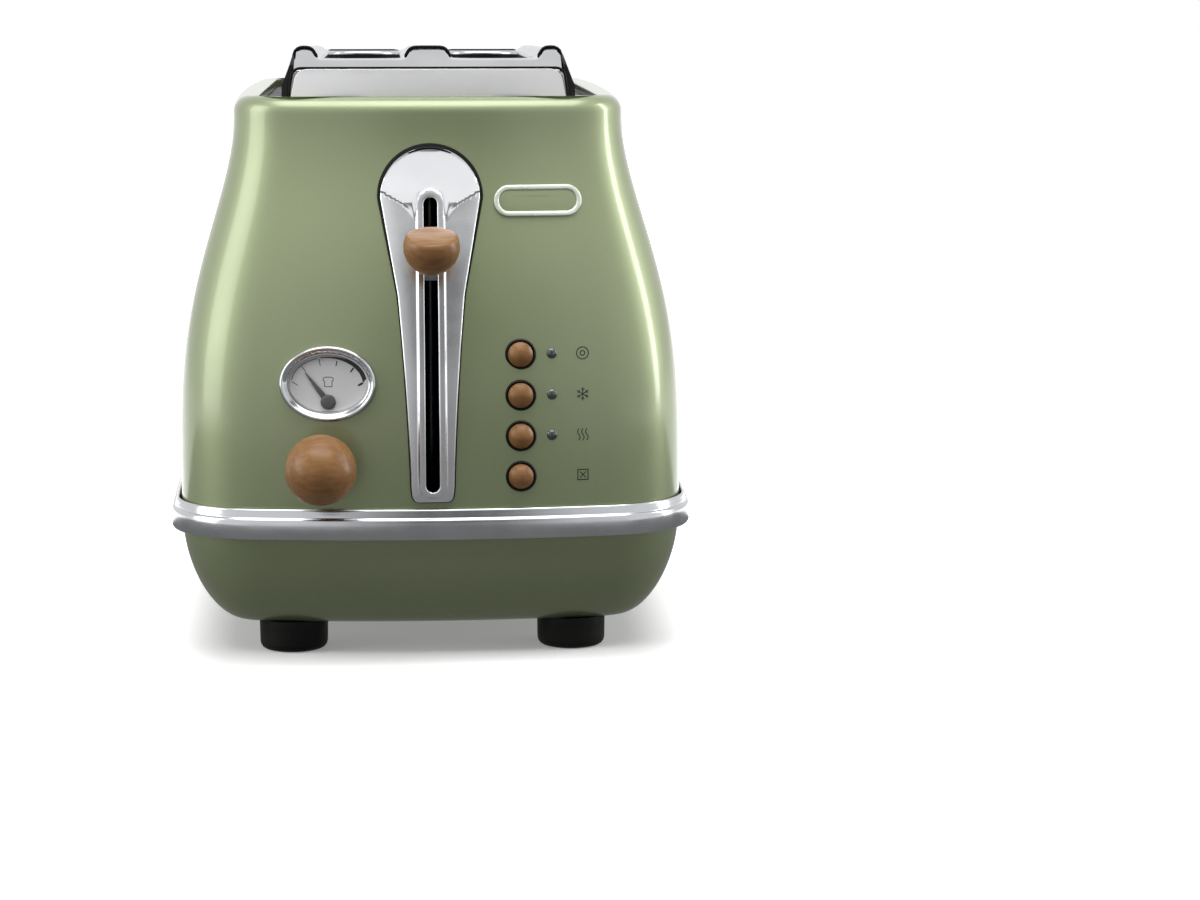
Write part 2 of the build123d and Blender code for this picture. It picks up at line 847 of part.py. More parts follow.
def make_reflector():
    """Right reflector sheet between the end plates."""
    return block(
        (reflector_x, reflector_x + reflector_thickness),
        (chamber_y + sheet, chamber_back_y),
        (reflector_bottom, reflector_top),
    )


def make_heater_boards():
    """Four mica sheets that carry the heating ribbons."""
    boards = []
    for x in (outer_heater_x, inner_heater_x):
        y = (chamber_y + sheet, chamber_back_y)
        board = block((x, x + mica_thickness), y, (heater_bottom, heater_top))
        boards += [board, mirrored(board)]
    return boards


def make_ribbons():
    """Heating ribbons on the bread side of each mica sheet."""
    ribbons = []
    pitch = (heater_top - heater_bottom) / (ribbon_count + 1)
    for face, way in (
        (outer_heater_x, -1),
        (inner_heater_x + mica_thickness, 1),
        (-outer_heater_x, 1),
        (-inner_heater_x - mica_thickness, -1),
    ):
        for index in range(ribbon_count):
            height = heater_bottom + pitch * (index + 1)
            x = sorted((face, face + way * ribbon_thickness))
            y = (chamber_y + sheet + ribbon_end, chamber_back_y - ribbon_end)
            ribbons.append(block(x, y, (height - ribbon_width / 2, height + ribbon_width / 2)))
    return ribbons


def make_guard(x):
    """Wire cage that swings in to hold the bread, hinged at its bottom wire."""
    inside = chamber_y + sheet + end_gap
    far = chamber_back_y - end_gap
    cage = rod_y(x, guard_hinge_height, guard_wire, chamber_y - sheet, chamber_back_y + 2 * sheet)
    cage = cage + rod_y(x, guard_top, guard_wire, inside, far)
    pitch = (far - inside - guard_wire) / (guard_bars - 1)
    for index in range(guard_bars):
        y = inside + guard_wire / 2 + pitch * index
        cage = cage + rod_z(x, y, guard_bar_wire, guard_hinge_height, guard_top)
    return cage


def make_magnet():
    """Electromagnet that holds the carriage down, on the chamber's front plate."""
    top = lever_height - carriage_drop - carriage_height / 2 - lever_travel - magnet_gap
    middle = magnet_left + magnet_width / 2
    core = block(
        (middle - core_width / 2, middle + core_width / 2),
        (front_y + rod_depth - core_tall, chamber_y),
        (top - core_tall, top),
    )
    coil = block(
        (magnet_left, magnet_left + magnet_width),
        (front_y + rod_depth, chamber_y),
        (top - magnet_tall, top - core_tall),
    )
    return core + coil


def make_control_board():
    """Printed board behind the buttons, with a hole for each standoff's screw."""
    face = front_y + board_depth
    return block((board_left, board_right), (face, face + board_thickness), (board_bottom, board_top))


def make_standoffs():
    """Posts from the chamber's front plate to the board."""
    start = front_y + board_depth + board_thickness
    left = carriage_half_width + standoff_diameter / 2 + standoff_gap
    right = plate_half_width - standoff_inset
    return [
        rod_y(x, height, standoff_diameter, start, chamber_y)
        for x in (left, right)
        for height in (board_bottom + standoff_inset, board_top - standoff_inset)
    ]


def make_switches():
    """Push switches on the board, one behind each button."""
    face = front_y + board_depth
    half = switch_size / 2
    return [
        block((button_x - half, button_x + half), (face - switch_depth, face), (height - half, height + half))
        for height in button_heights
    ]


def make_button(height):
    """Domed wooden button with a stem that reaches to its switch."""
    face = front_face_y(button_x, height)
    radius = button_diameter / 2
    sphere = (radius**2 + button_dome**2) / (2 * button_dome)
    start = face - button_proud + button_dome
    back = face + button_skirt
    skirt = rod_y(button_x, height, button_diameter, start, back)
    dome = Pos(button_x, start + math.sqrt(sphere**2 - radius**2), height) * Sphere(sphere)
    dome = dome & rod_y(button_x, height, button_diameter, face - past, start + sink)
    stem_end = front_y + board_depth - switch_depth - button_travel - snug
    return skirt + dome + rod_y(button_x, height, button_stem_diameter, back - sink, stem_end)


def make_button_rings():
    """Dark ring round each button, through the shell."""
    form = face_form(skin_gap)
    rings = []
    for height in button_heights:
        face = front_face_y(button_x, height)
        flange = rod_y(button_x, height, ring_diameter, face - ring_proud, face + ring_proud) - form
        body = rod_y(button_x, height, ring_body_diameter, face - ring_proud, face + ring_depth)
        hole = rod_y(button_x, height, button_diameter + 2 * fit, face - past, face + past)
        rings.append(flange + body - hole)
    return rings


def make_indicator_lenses():
    """Three clear light pipes from the board to the front."""
    lenses = []
    for height in button_heights[:3]:
        face = front_face_y(light_x, height)
        pipe = rod_y(light_x, height, light_pipe_diameter, face - light_proud / 4, front_y + board_depth)
        radius = light_diameter / 2
        sphere = (radius**2 + light_proud**2) / (2 * light_proud)
        cap = Pos(light_x, face - light_proud + sphere, height) * Sphere(sphere)
        cap = cap & rod_y(light_x, height, light_diameter, face - past, face + light_proud)
        lenses.append(pipe + (cap - face_form(skin_gap)))
    return lenses


def make_badge_plate():
    """Bare badge with a raised border."""
    shape = Pos(badge_x, badge_height) * SlotOverall(badge_width, badge_tall)
    inner = SlotOverall(badge_width - 2 * badge_border, badge_tall - 2 * badge_border)
    inner = Pos(badge_x, badge_height) * inner
    plate = on_front(shape, skin_gap, badge_proud)
    return plate - on_front(inner, badge_proud - badge_sink, badge_proud + sink)


def make_gauge_bezel():
    """Oval chrome ring that sits on the shell."""
    ring = dial_ellipse(gauge_width, gauge_tall, -bezel_rim, bezel_proud)
    hole = dial_ellipse(gauge_width - 2 * bezel_rim, gauge_tall - 2 * bezel_rim, -past, past)
    return ring - hole - face_form(skin_gap)


def housing_oval(extra, low, high):
    """Oval that fits inside the bezel, with an extra margin."""
    less = 2 * bezel_rim + snug - extra
    return dial_ellipse(gauge_width - less, gauge_tall - less, low, high)


def make_gauge_housing():
    """Cup behind the gauge, with a carrier plate that reaches down to the knob's shaft."""
    back = -housing_depth
    cup = housing_oval(0, back, sink)
    cup = cup - housing_oval(-2 * housing_wall, back + housing_wall, past)
    carrier = Box(pot_size + carrier_margin, abs(knob_spot.Y) + pot_size, carrier_thickness)
    middle = Pos(knob_spot.X / 2, knob_spot.Y / 2, back - carrier_thickness / 2)
    housing = cup + dial_plane * middle * carrier
    hole = needle_shaft_diameter + 2 * snug
    housing = housing - dial_rod(0, -needle_drop, hole, back - past, back + past)
    hole = shaft_diameter + 2 * snug
    return housing - dial_rod(knob_spot.X, knob_spot.Y, hole, back - past, back + past)


def make_gauge_face():
    """Printed plate behind the needle, with two pegs on the housing's floor."""
    back = face_level - face_thickness
    plate = housing_oval(-2 * housing_wall - snug, back, face_level)
    for x in (face_peg_x, -face_peg_x):
        peg = dial_rod(x, face_peg_height, face_peg_diameter, -housing_depth + housing_wall, back)
        plate = plate + peg
    hole = needle_shaft_diameter + 2 * snug
    return plate - dial_rod(0, -needle_drop, hole, back - sink, face_level + sink)


def make_gauge_needle():
    """Pointer with its hub and the fine shaft behind it."""
    level = face_level + needle_lift
    right = [(needle_width / 2, -needle_tail), (needle_tip / 2, needle_length)]
    left = [(-x, y) for x, y in reversed(right)]
    blade = extrude(make_face(Polyline(*right, *left, close=True)), needle_thickness)
    blade = dial_plane * Pos(0, -needle_drop, level) * Rot(0, 0, needle_angle) * blade
    hub = dial_rod(0, -needle_drop, hub_diameter, level, level + hub_thickness)
    pulley_front = pulley_levels()[1]
    return blade + hub + dial_rod(0, -needle_drop, needle_shaft_diameter, pulley_front, level + snug)


def make_gauge_lens():
    """Clear cover in front of the needle."""
    top = bezel_proud - lens_sink
    return housing_oval(-snug, top - lens_thickness, top)


def pulley_levels():
    """Back and front of the pulleys, from the dial's plane."""
    front = -housing_depth - carrier_thickness - pulley_gap
    return front - pulley_width, front


def make_needle_pulley():
    """Larger pulley on the needle's shaft."""
    low, high = pulley_levels()
    return dial_rod(0, -needle_drop, small_pulley_diameter * pulley_ratio, low, high)


def make_needle_belt():
    """Flat belt that turns the needle with the knob."""
    low, high = pulley_levels()
    small = small_pulley_diameter / 2
    large = small * pulley_ratio
    gap = Vector(knob_spot.X, knob_spot.Y + needle_drop)

    def loop(margin):
        first = Circle(large + margin)
        second = Pos(gap.X, gap.Y) * Circle(small + margin)
        return make_hull(first.edges() + second.edges())

    band = loop(belt_gap + belt_thickness) - loop(belt_gap)
    return dial_plane * Pos(0, -needle_drop, low) * extrude(band, high - low)


def make_potentiometer():
    """Square body round the knob's shaft, on the carrier plate."""
    body = knob_plane * Pos(0, 0, -housing_depth + pot_depth / 2) * Box(pot_size, pot_size, pot_depth)
    hole = shaft_diameter + 2 * snug
    return body - dial_rod(knob_spot.X, knob_spot.Y, hole, -housing_depth - past, past - pot_depth)


def make_browning_knob():
    """Wooden ball with a flat back round its shaft."""
    low = knob_face + knob_stand_off
    ball = knob_plane * Pos(0, 0, low + browning_radius) * Sphere(browning_radius)
    size = browning_diameter
    behind = knob_plane * Pos(0, 0, low + knob_flat - size / 2) * Box(size, size, size)
    return ball - behind - dial_rod(knob_spot.X, knob_spot.Y, shaft_diameter, low, low + shaft_socket)


def make_knob_shaft():
    """Shaft from inside the ball back to the small pulley at its end."""
    low, high = pulley_levels()
    front = knob_face + knob_stand_off + shaft_socket
    shaft = dial_rod(knob_spot.X, knob_spot.Y, shaft_diameter, low, front)
    return shaft + dial_rod(knob_spot.X, knob_spot.Y, small_pulley_diameter, low, high)


def make_knob_collar():
    """Ring on the shell round the knob's shaft."""
    front = knob_face + collar_proud
    ring = dial_rod(knob_spot.X, knob_spot.Y, collar_diameter, knob_face - collar_proud, front)
    ring = ring - face_form(skin_gap)
    hole = shaft_diameter + 2 * fit
    return ring - dial_rod(knob_spot.X, knob_spot.Y, hole, knob_face - past, knob_face + past)


def cover_profile(inset):
    """Cover's cross-section drawn in X and Z, shrunk by a wall."""
    low = cover_bottom - (cover_open if inset else 0)
    top = rail_top - inset
    flat = plateau - inset
    points = [
        (0, top),
        (rail_half - inset / 2, top),
        (rail_foot - inset / 2, flat),
        (shoulder_foot + inset / 2, flat),
        (shoulder_inner + inset / 2, top),
        (shoulder_outer - inset / 2, top),
        (cover_shoulder_half - inset, rail_top - shoulder_drop),
        (cover_base_half - inset, low),
    ]
    left = [(-x, z) for x, z in reversed(points[1:])]
    return make_face(Polyline(*points, *left, close=True))


def ramp_cut(y, way, inset):
    """Block that cuts the cover's end to a slope."""
    low = shell_top + ramp_height - inset
    high = rail_top - inset + past
    start = y + way * inset
    slope = (rail_height - ramp_height) / ramp_length
    run = (high - low) / slope
    outside = start - way * past
    points = [(outside, low), (start, low), (start + way * run, high), (outside, high)]
    face = make_face(Polyline(*points, close=True))
    return extrude(Plane.YZ * face, body_width / 2, both=True)


def make_top_cover():
    """Chrome cover with two bread slots, a centre rail, two shoulders and sloped ends."""
    start = front_y + cover_start
    end = front_y + body_length - cover_start
    outer = front_prism(cover_profile(0), start, end)
    inner = front_prism(cover_profile(cover_wall), start + cover_wall, end - cover_wall)
    for y, way in ((start, 1), (end, -1)):
        outer = outer - ramp_cut(y, way, 0)
        inner = inner - ramp_cut(y, way, cover_wall)
    cover = outer - inner
    middle = chamber_y + (chamber_length + sheet) / 2
    opening = RectangleRounded(slot_opening, slot_length, slot_corner)
    size = (slot_opening + 2 * lip_wall, slot_length + 2 * lip_wall)
    outside = RectangleRounded(*size, slot_corner + lip_wall)
    for side in (1, -1):
        place = Pos(side * slot_centre, middle, plateau - lip_length)
        cover = cover + place * extrude(outside, lip_length - cover_wall / 4)
        cover = cover - place * Pos(0, 0, -past) * extrude(opening, lip_length + 3 * past)
    return cover


def make_fascia(y):
    """Chrome end plate in front of the cover."""
    high = shell_top + fascia_height
    points = [
        (-cover_base_half, cover_bottom),
        (cover_base_half, cover_bottom),
        (fascia_top_half, high),
        (-fascia_top_half, high),
    ]
    face = make_face(Polyline(*points, close=True))
    face = fillet(face.vertices().sort_by(Axis.Y)[-2:], fascia_corner)
    return front_prism(face, y, y + fascia_thickness)


def make_top_collar():
    """Black collar on the chamber's plates, with a ledge and two cheeks round the cover."""
    size = (2 * (opening_half_width - fit), 2 * (opening_half_length - fit))
    plate = RectangleRounded(*size, opening_corner - fit)
    inner_half_length = body_length / 2 - cover_start - collar_ledge
    hole = Rectangle(2 * (cover_base_half - collar_ledge), 2 * inner_half_length)
    collar = Pos(0, middle_y, collar_bottom) * extrude(plate - hole, collar_thickness)
    start = front_y + cover_start
    end = front_y + body_length - cover_start
    inner_low = cover_base_half + cheek_gap
    inner_high = cover_shoulder_half + cheek_gap
    points = [
        (inner_low, cover_bottom - sink),
        (inner_low + cheek_thickness, cover_bottom - sink),
        (inner_low + cheek_thickness - cheek_lean, shell_top + cheek_bend),
        (inner_high + cheek_thickness / 2, rail_top - cheek_shoulder),
        (inner_high + cheek_lean, rail_top - cheek_top_drop),
        (inner_high, rail_top - shoulder_drop),
    ]
    cheek = front_prism(make_face(Polyline(*points, close=True)), start, end)
    for y, way in ((start, 1), (end, -1)):
        cheek = cheek - ramp_cut(y, way, -2 * cover_wall)
    return collar + cheek + mirrored(cheek)


def make_crumb_tray():
    """Shallow sheet tray under the chamber."""
    low = tub_floor + tray_lift
    start = chamber_y + sheet + tray_front_gap
    end = front_y + body_length - tray_setback
    outer = block((-tray_half_width, tray_half_width), (start, end), (low, low + tray_wall_height))
    inner = block(
        (-tray_half_width + tray_sheet, tray_half_width - tray_sheet),
        (start + tray_sheet, end - tray_sheet),
        (low + tray_sheet, low + tray_wall_height + past),
    )
    return outer - inner


def make_tray_panel():
    """Curved panel that closes the tub's back, with a grip."""
    back = front_y + body_length
    panel = tray_window(tray_panel_gap) & (tub_form(0, foot_height) - tub_form(tub_wall, tub_floor))
    middle = (tray_panel_bottom + tray_panel_top) / 2 + tray_grip_rise
    grip_y = back - tray_grip_start
    grip = block(
        (-tray_grip_half, tray_grip_half),
        (grip_y, grip_y + tray_grip_reach),
        (middle - tray_grip_thickness / 2, middle + tray_grip_thickness / 2),
    )
    grip = fillet(grip.edges().filter_by(Axis.Z), tray_grip_corner)
    low = tub_floor + tray_lift
    tongue = block(
        (-tray_half_width + tongue_inset, tray_half_width - tongue_inset),
        (back - tray_setback, back - tongue_end),
        (low + tongue_margin, low + tray_wall_height - tongue_margin),
    )
    half_wall = tub_form(tub_wall / 2, foot_height)
    return panel + (grip - half_wall) + (tongue & half_wall)


def make_tray_runners():
    """Two rails under the tray's edges."""
    start = chamber_y + sheet
    rail = block(
        (tray_half_width - runner_width, tray_half_width),
        (start, chamber_back_y),
        (tub_floor, tub_floor + tray_lift - fit),
    )
    return [rail, mirrored(rail)]


def tub_back_y(height):
    """Y of the tub's outer back face at a height."""
    return middle_y + shell_half_length + tub_grow(height)


def make_cord_grommet():
    """Rubber bush in the tub's back wall where a mains lead would leave."""
    face = tub_back_y(grommet_height) - front_bow * (grommet_x / (shell_half_width - corner_low)) ** 2
    end = face + grommet_proud
    bush = rod_y(grommet_x, grommet_height, grommet_diameter - snug, end - grommet_length, end)
    flange_y = face - flange_inside
    flange = rod_y(grommet_x, grommet_height, grommet_flange, flange_y - flange_tall, flange_y)
    bore = rod_y(grommet_x, grommet_height, grommet_bore, end - grommet_length - past, end + past)
    return bush + flange - bore


def make_terminal_block():
    """Terminal block on the tub's floor, behind the chamber."""
    width, deep, tall = terminal_size
    y = front_y + body_length - terminal_setback
    return block(
        (terminal_x - width / 2, terminal_x + width / 2), (y, y + deep), (tub_floor, tub_floor + tall)
    )


def gather(shapes):
    """One node from several separate solids."""
    return Compound(children=[shape.solid() for shape in shapes])


parts = {
    "outer_shell": make_outer_shell(),
    "trim_band": make_trim_band(),
    "base_tub": make_base_tub(),
    "screws": gather(make_foot_screws() + make_plate_screws()),
    "lever_plate": make_lever_plate(),
    "lever_gasket": make_lever_gasket(),
    "slot_liner": make_slot_liner(),
    "lever_knob": make_lever_knob(),
    "lever_arm": make_lever_arm(),
    "carriage": make_carriage(),
    "lift_spring": make_lift_spring(),
    "guide_rod": make_guide_rod(),
    "guide_brackets": gather(make_guide_brackets()),
    "right_bread_lifter": make_lifter(),
    "left_bread_lifter": mirrored(make_lifter()),
    "front_plate": make_chamber_plate(chamber_y, False),
    "rear_plate": make_chamber_plate(chamber_back_y, True),
    "reflectors": gather([make_reflector(), mirrored(make_reflector())]),
    "heater_boards": gather(make_heater_boards()),
    "heating_ribbons": gather(make_ribbons()),
    "electromagnet": make_magnet(),
    "control_board": make_control_board(),
    "board_standoffs": gather(make_standoffs()),
    "push_switches": gather(make_switches()),
    "button_rings": gather(make_button_rings()),
    "indicator_lenses": gather(make_indicator_lenses()),
    "badge_plate": make_badge_plate(),
    "gauge_bezel": make_gauge_bezel(),
    "gauge_housing": make_gauge_housing(),
    "gauge_face": make_gauge_face(),
    "gauge_needle": make_gauge_needle(),
    "gauge_lens": make_gauge_lens(),
    "needle_pulley": make_needle_pulley(),
    "needle_belt": make_needle_belt(),
    "potentiometer": make_potentiometer(),
    "browning_knob": make_browning_knob(),
    "knob_shaft": make_knob_shaft(),
    "knob_collar": make_knob_collar(),
    "top_cover": make_top_cover(),
    "front_fascia": make_fascia(front_y + cover_start - fascia_thickness),
    "rear_fascia": make_fascia(front_y + body_length - cover_start),
    "top_collar": make_top_collar(),
    "crumb_tray": make_crumb_tray(),
    "crumb_tray_panel": make_tray_panel(),
    "tray_runners": gather(make_tray_runners()),
    "cord_grommet": make_cord_grommet(),
    "terminal_block": make_terminal_block(),
}
for foot_name, (foot_x, foot_y) in foot_places().items():
    parts[foot_name] = make_foot(foot_x, foot_y)
for button_name, button_height in zip(button_names, button_heights):
    parts[button_name] = make_button(button_height)
for guard_side, mirror_it in (("right", False), ("left", True)):
    for guard_name, spread in (("outer", guard_spread), ("inner", -guard_spread)):
        guard = make_guard(slot_centre + spread)
        parts[f"{guard_side}_{guard_name}_guard"] = mirrored(guard) if mirror_it else guard

os.makedirs("parts", exist_ok=True)
for node, shape in parts.items():
    export_step(shape, f"parts/{node}.step")
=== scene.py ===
"""Two-slice toaster: the pieces that are seen, their finishes, the stage and the camera.

Sizes are in millimetres in the classes and become metres when a mesh is placed.
"""
import sys

import json
import logging
import math
from contextlib import contextmanager
from dataclasses import dataclass
from enum import Enum
from typing import Callable, Iterator, Sequence

import bpy
from bpy.types import Material, Node, NodeSocket, NodeTree, Object
from mathutils import Euler, Matrix, Vector


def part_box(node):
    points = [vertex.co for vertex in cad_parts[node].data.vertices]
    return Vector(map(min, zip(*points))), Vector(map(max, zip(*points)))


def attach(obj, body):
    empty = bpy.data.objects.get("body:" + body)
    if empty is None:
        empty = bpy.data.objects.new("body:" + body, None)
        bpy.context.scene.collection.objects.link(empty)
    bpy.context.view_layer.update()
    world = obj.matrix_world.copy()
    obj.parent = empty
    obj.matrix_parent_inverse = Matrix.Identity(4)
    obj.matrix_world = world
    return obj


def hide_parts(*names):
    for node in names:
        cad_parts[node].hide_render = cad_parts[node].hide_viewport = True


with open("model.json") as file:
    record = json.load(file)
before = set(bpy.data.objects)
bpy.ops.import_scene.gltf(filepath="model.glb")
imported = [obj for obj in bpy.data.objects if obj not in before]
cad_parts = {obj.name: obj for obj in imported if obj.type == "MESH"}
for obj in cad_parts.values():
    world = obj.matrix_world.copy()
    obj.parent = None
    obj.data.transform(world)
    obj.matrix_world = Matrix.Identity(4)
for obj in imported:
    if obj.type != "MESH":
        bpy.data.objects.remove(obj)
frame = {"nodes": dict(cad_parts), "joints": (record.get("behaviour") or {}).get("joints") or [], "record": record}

log = logging.getLogger("toaster")

MM = 0.001
TAU = 2 * math.pi
MERGE = 1e-6  # how near two points of a mesh must be to become one, in metres
Point = tuple[float, float, float]
Flat = tuple[float, float]
Ring = list[Point]
Colour = tuple[float, float, float]
Place = Callable[[float, float, float], Point]


# Modelling steps


def only(*pieces: Object) -> None:
    """Select these objects alone, the first of them active."""
    if bpy.context.object and bpy.context.object.mode != "OBJECT":
        bpy.ops.object.mode_set(mode="OBJECT")
    bpy.ops.object.select_all(action="DESELECT")
    for piece in pieces:
        piece.select_set(True)
    bpy.context.view_layer.objects.active = pieces[0] if pieces else None


@contextmanager
def editing(piece: Object) -> Iterator[None]:
    """Edit mode on one object, with its whole mesh selected."""
    only(piece)
    bpy.ops.object.mode_set(mode="EDIT")
    bpy.ops.mesh.select_mode(type="VERT")
    bpy.ops.mesh.select_all(action="SELECT")
    yield
    bpy.ops.object.mode_set(mode="OBJECT")


def close_up(piece: Object) -> Object:
    """Merge points that coincide, point the faces outwards and return the piece."""
    with editing(piece):
        bpy.ops.mesh.remove_doubles(threshold=MERGE)
        bpy.ops.mesh.select_all(action="SELECT")
        bpy.ops.mesh.normals_make_consistent(inside=False)
    return piece


def stack(
    name: str, count: int, levels: int, place: Callable[[int, int], Point], fill: str = "NOTHING"
) -> Object:
    """Circles extruded one from the other, with each point put in its place.

    Args:
        name: the object's name.
        count: points round each circle.
        levels: how many circles.
        place: gives a point in millimetres for a step round and a level.
        fill: how the first circle is filled.

    Returns:
        The new object.
    """
    only()
    bpy.ops.mesh.primitive_circle_add(vertices=count, radius=1.0, fill_type=fill)
    piece = bpy.context.object
    with editing(piece):
        for _ in range(levels - 1):
            bpy.ops.mesh.extrude_region_move(TRANSFORM_OT_translate={"value": (0, 0, 1)})
    for vertex in piece.data.vertices:
        step = round(math.atan2(vertex.co.y, vertex.co.x) / TAU * count) % count
        vertex.co = Vector(place(step, round(vertex.co.z))) * MM
    piece.name = name
    return piece


def ring_form(name: str, rings: Sequence[Ring], closed: bool = False, capped: bool = False) -> Object:
    """Surface through rings of points.

    Args:
        name: the object's name.
        rings: rings of equally many points, in millimetres. A ring of one place makes a pole.
        closed: whether the last ring joins the first.
        capped: whether the first and the last ring get a flat face.

    Returns:
        The new object.
    """
    if closed:
        rings = [*rings, rings[0]]
    piece = stack(name, len(rings[0]), len(rings), lambda step, level: rings[level][step])
    if capped:
        with editing(piece):
            bpy.ops.mesh.fill_holes(sides=0)
    return close_up(piece)


def plate_form(name: str, edge: Sequence[Flat], low: float, high: float, place: Place) -> Object:
    """Flat piece with one outline.

    Args:
        name: the object's name.
        edge: its outline.
        low: its lower face's level.
        high: its upper face's level.
        place: turns an outline's point and a level into a place in millimetres.

    Returns:
        The new object.
    """
    levels = (low, high)
    return close_up(stack(name, len(edge), 2, lambda step, level: place(*edge[step], levels[level]), "NGON"))


def apply(piece: Object, kind: str, **settings: object) -> Object:
    """Add a modifier of a kind with its settings, apply it and return the piece."""
    only(piece)
    modifier = piece.modifiers.new(kind.lower(), kind)
    for key, value in settings.items():
        setattr(modifier, key, value)
    bpy.ops.object.modifier_apply(modifier=modifier.name)
    return piece


def soften(piece: Object, width: float, segments: int = 2) -> Object:
    """Round a piece's sharp edges by a width in millimetres."""
    return apply(
        piece, "BEVEL", width=width * MM, segments=segments, limit_method="ANGLE",
        angle_limit=math.radians(35), harden_normals=False,
    )


def join(name: str, *pieces: Object) -> Object:
    """Join several objects into one with a name."""
    only(*pieces)
    if len(pieces) > 1:
        bpy.ops.object.join()
    pieces[0].name = name
    return pieces[0]


def cut(piece: Object, *tools: Object) -> None:
    """Take the forms of some tools out of a piece, and remove the tools."""
    tool = join(tools[0].name, *tools)
    apply(piece, "BOOLEAN", operation="DIFFERENCE", solver="EXACT", object=tool)
    bpy.data.objects.remove(tool)


def merged_copy(node: str, name: str) -> Object:
    """A copy of a carried-over piece whose triangles are merged into plain faces."""
    source = frame["nodes"][node]
    piece = bpy.data.objects.new(name, source.data.copy())
    piece.matrix_world = source.matrix_world.copy()
    bpy.context.scene.collection.objects.link(piece)
    with editing(piece):
        bpy.ops.mesh.remove_doubles(threshold=MERGE)
        bpy.ops.mesh.select_all(action="SELECT")
        bpy.ops.mesh.dissolve_limited(angle_limit=math.radians(1.0))
    return piece


# Finishes


class Finish(Enum):
    """Every finish on the toaster."""

    PAINT = "pearl_paint"
    CHROME = "polished_chrome"
    WOOD = "satin_wood"
    BLACK = "satin_black"
    RUBBER = "foot_rubber"
    SHEET = "zinc_sheet"
    BRIGHT = "bright_wire"
    TRAY = "tray_aluminium"
    MICA = "mica_board"
    RIBBON = "heating_ribbon"
    BOARD = "circuit_board"
    DIAL = "dial_silver"
    NEEDLE = "needle_grey"
    CLEAR = "clear_cover"
    LAMP = "lamp_glass"
    INK = "printing_ink"
    PALE_INK = "printing_ink_grey"
    PEARL = "badge_pearl"
    SATIN = "satin_chrome"
    TRIM = "trim_chrome"
    COVER = "cover_steel"
    PALE = "pale_chrome"


class Wiring:
    """The nodes of one material or group."""

    def __init__(self, tree: NodeTree) -> None:
        """Keep the tree that the nodes go into."""
        self.tree = tree

    def feed(self, node: Node, inputs: dict) -> Node:
        """Set a node's inputs, by name or number, or link them where a value is a socket."""
        for key, value in inputs.items():
            if isinstance(value, NodeSocket):
                self.tree.links.new(value, node.inputs[key])
            else:
                node.inputs[key].default_value = value
        return node

    def add(self, kind: str, inputs: dict | None = None, **settings: object) -> Node:
        """Add a node.

        Args:
            kind: its type, without the leading "ShaderNode".
            inputs: values, or sockets to link from, by the input's name or number.
            settings: its properties.

        Returns:
            The node.
        """
        node = self.tree.nodes.new(kind if kind.startswith("Node") else "ShaderNode" + kind)
        for key, value in settings.items():
            setattr(node, key, value)
        return self.feed(node, inputs or {})

    def number(self, operation: str, first: object, second: object = 0.0, clamp: bool = False) -> NodeSocket:
        """Result of an operation on two numbers."""
        return self.add("Math", {0: first, 1: second}, operation=operation, use_clamp=clamp).outputs[0]

    def noise(self, where: NodeSocket, scale: object, detail: float) -> NodeSocket:
        """Noise at a place, from 0 to 1."""
        return self.add("TexNoise", {"Vector": where, "Scale": scale, "Detail": detail}).outputs[0]

    def group(self, tree: NodeTree, **inputs: object) -> Sequence[NodeSocket]:
        """Outputs of a shared group with its own values."""
        return self.add("Group", inputs, node_tree=tree).outputs

    def blend(self, share: NodeSocket, first: Colour, second: Colour) -> NodeSocket:
        """Colour between two colours."""
        return self.add("Mix", {0: share, 6: (*first, 1), 7: (*second, 1)}, data_type="RGBA").outputs[2]

    def mix(self, share: NodeSocket, first: object, second: object) -> NodeSocket:
        """Number between two numbers."""
        return self.add("Mix", {0: share, 2: first, 3: second}).outputs[0]

    def between(
        self, value: NodeSocket, low: float, high: float, start: float = 0.3, end: float = 0.7
    ) -> NodeSocket:
        """Number from low to high as a value goes from start to end."""
        inputs = {0: value, 1: start, 2: end, 3: low, 4: high}
        return self.add("MapRange", inputs, interpolation_type="SMOOTHSTEP").outputs[0]


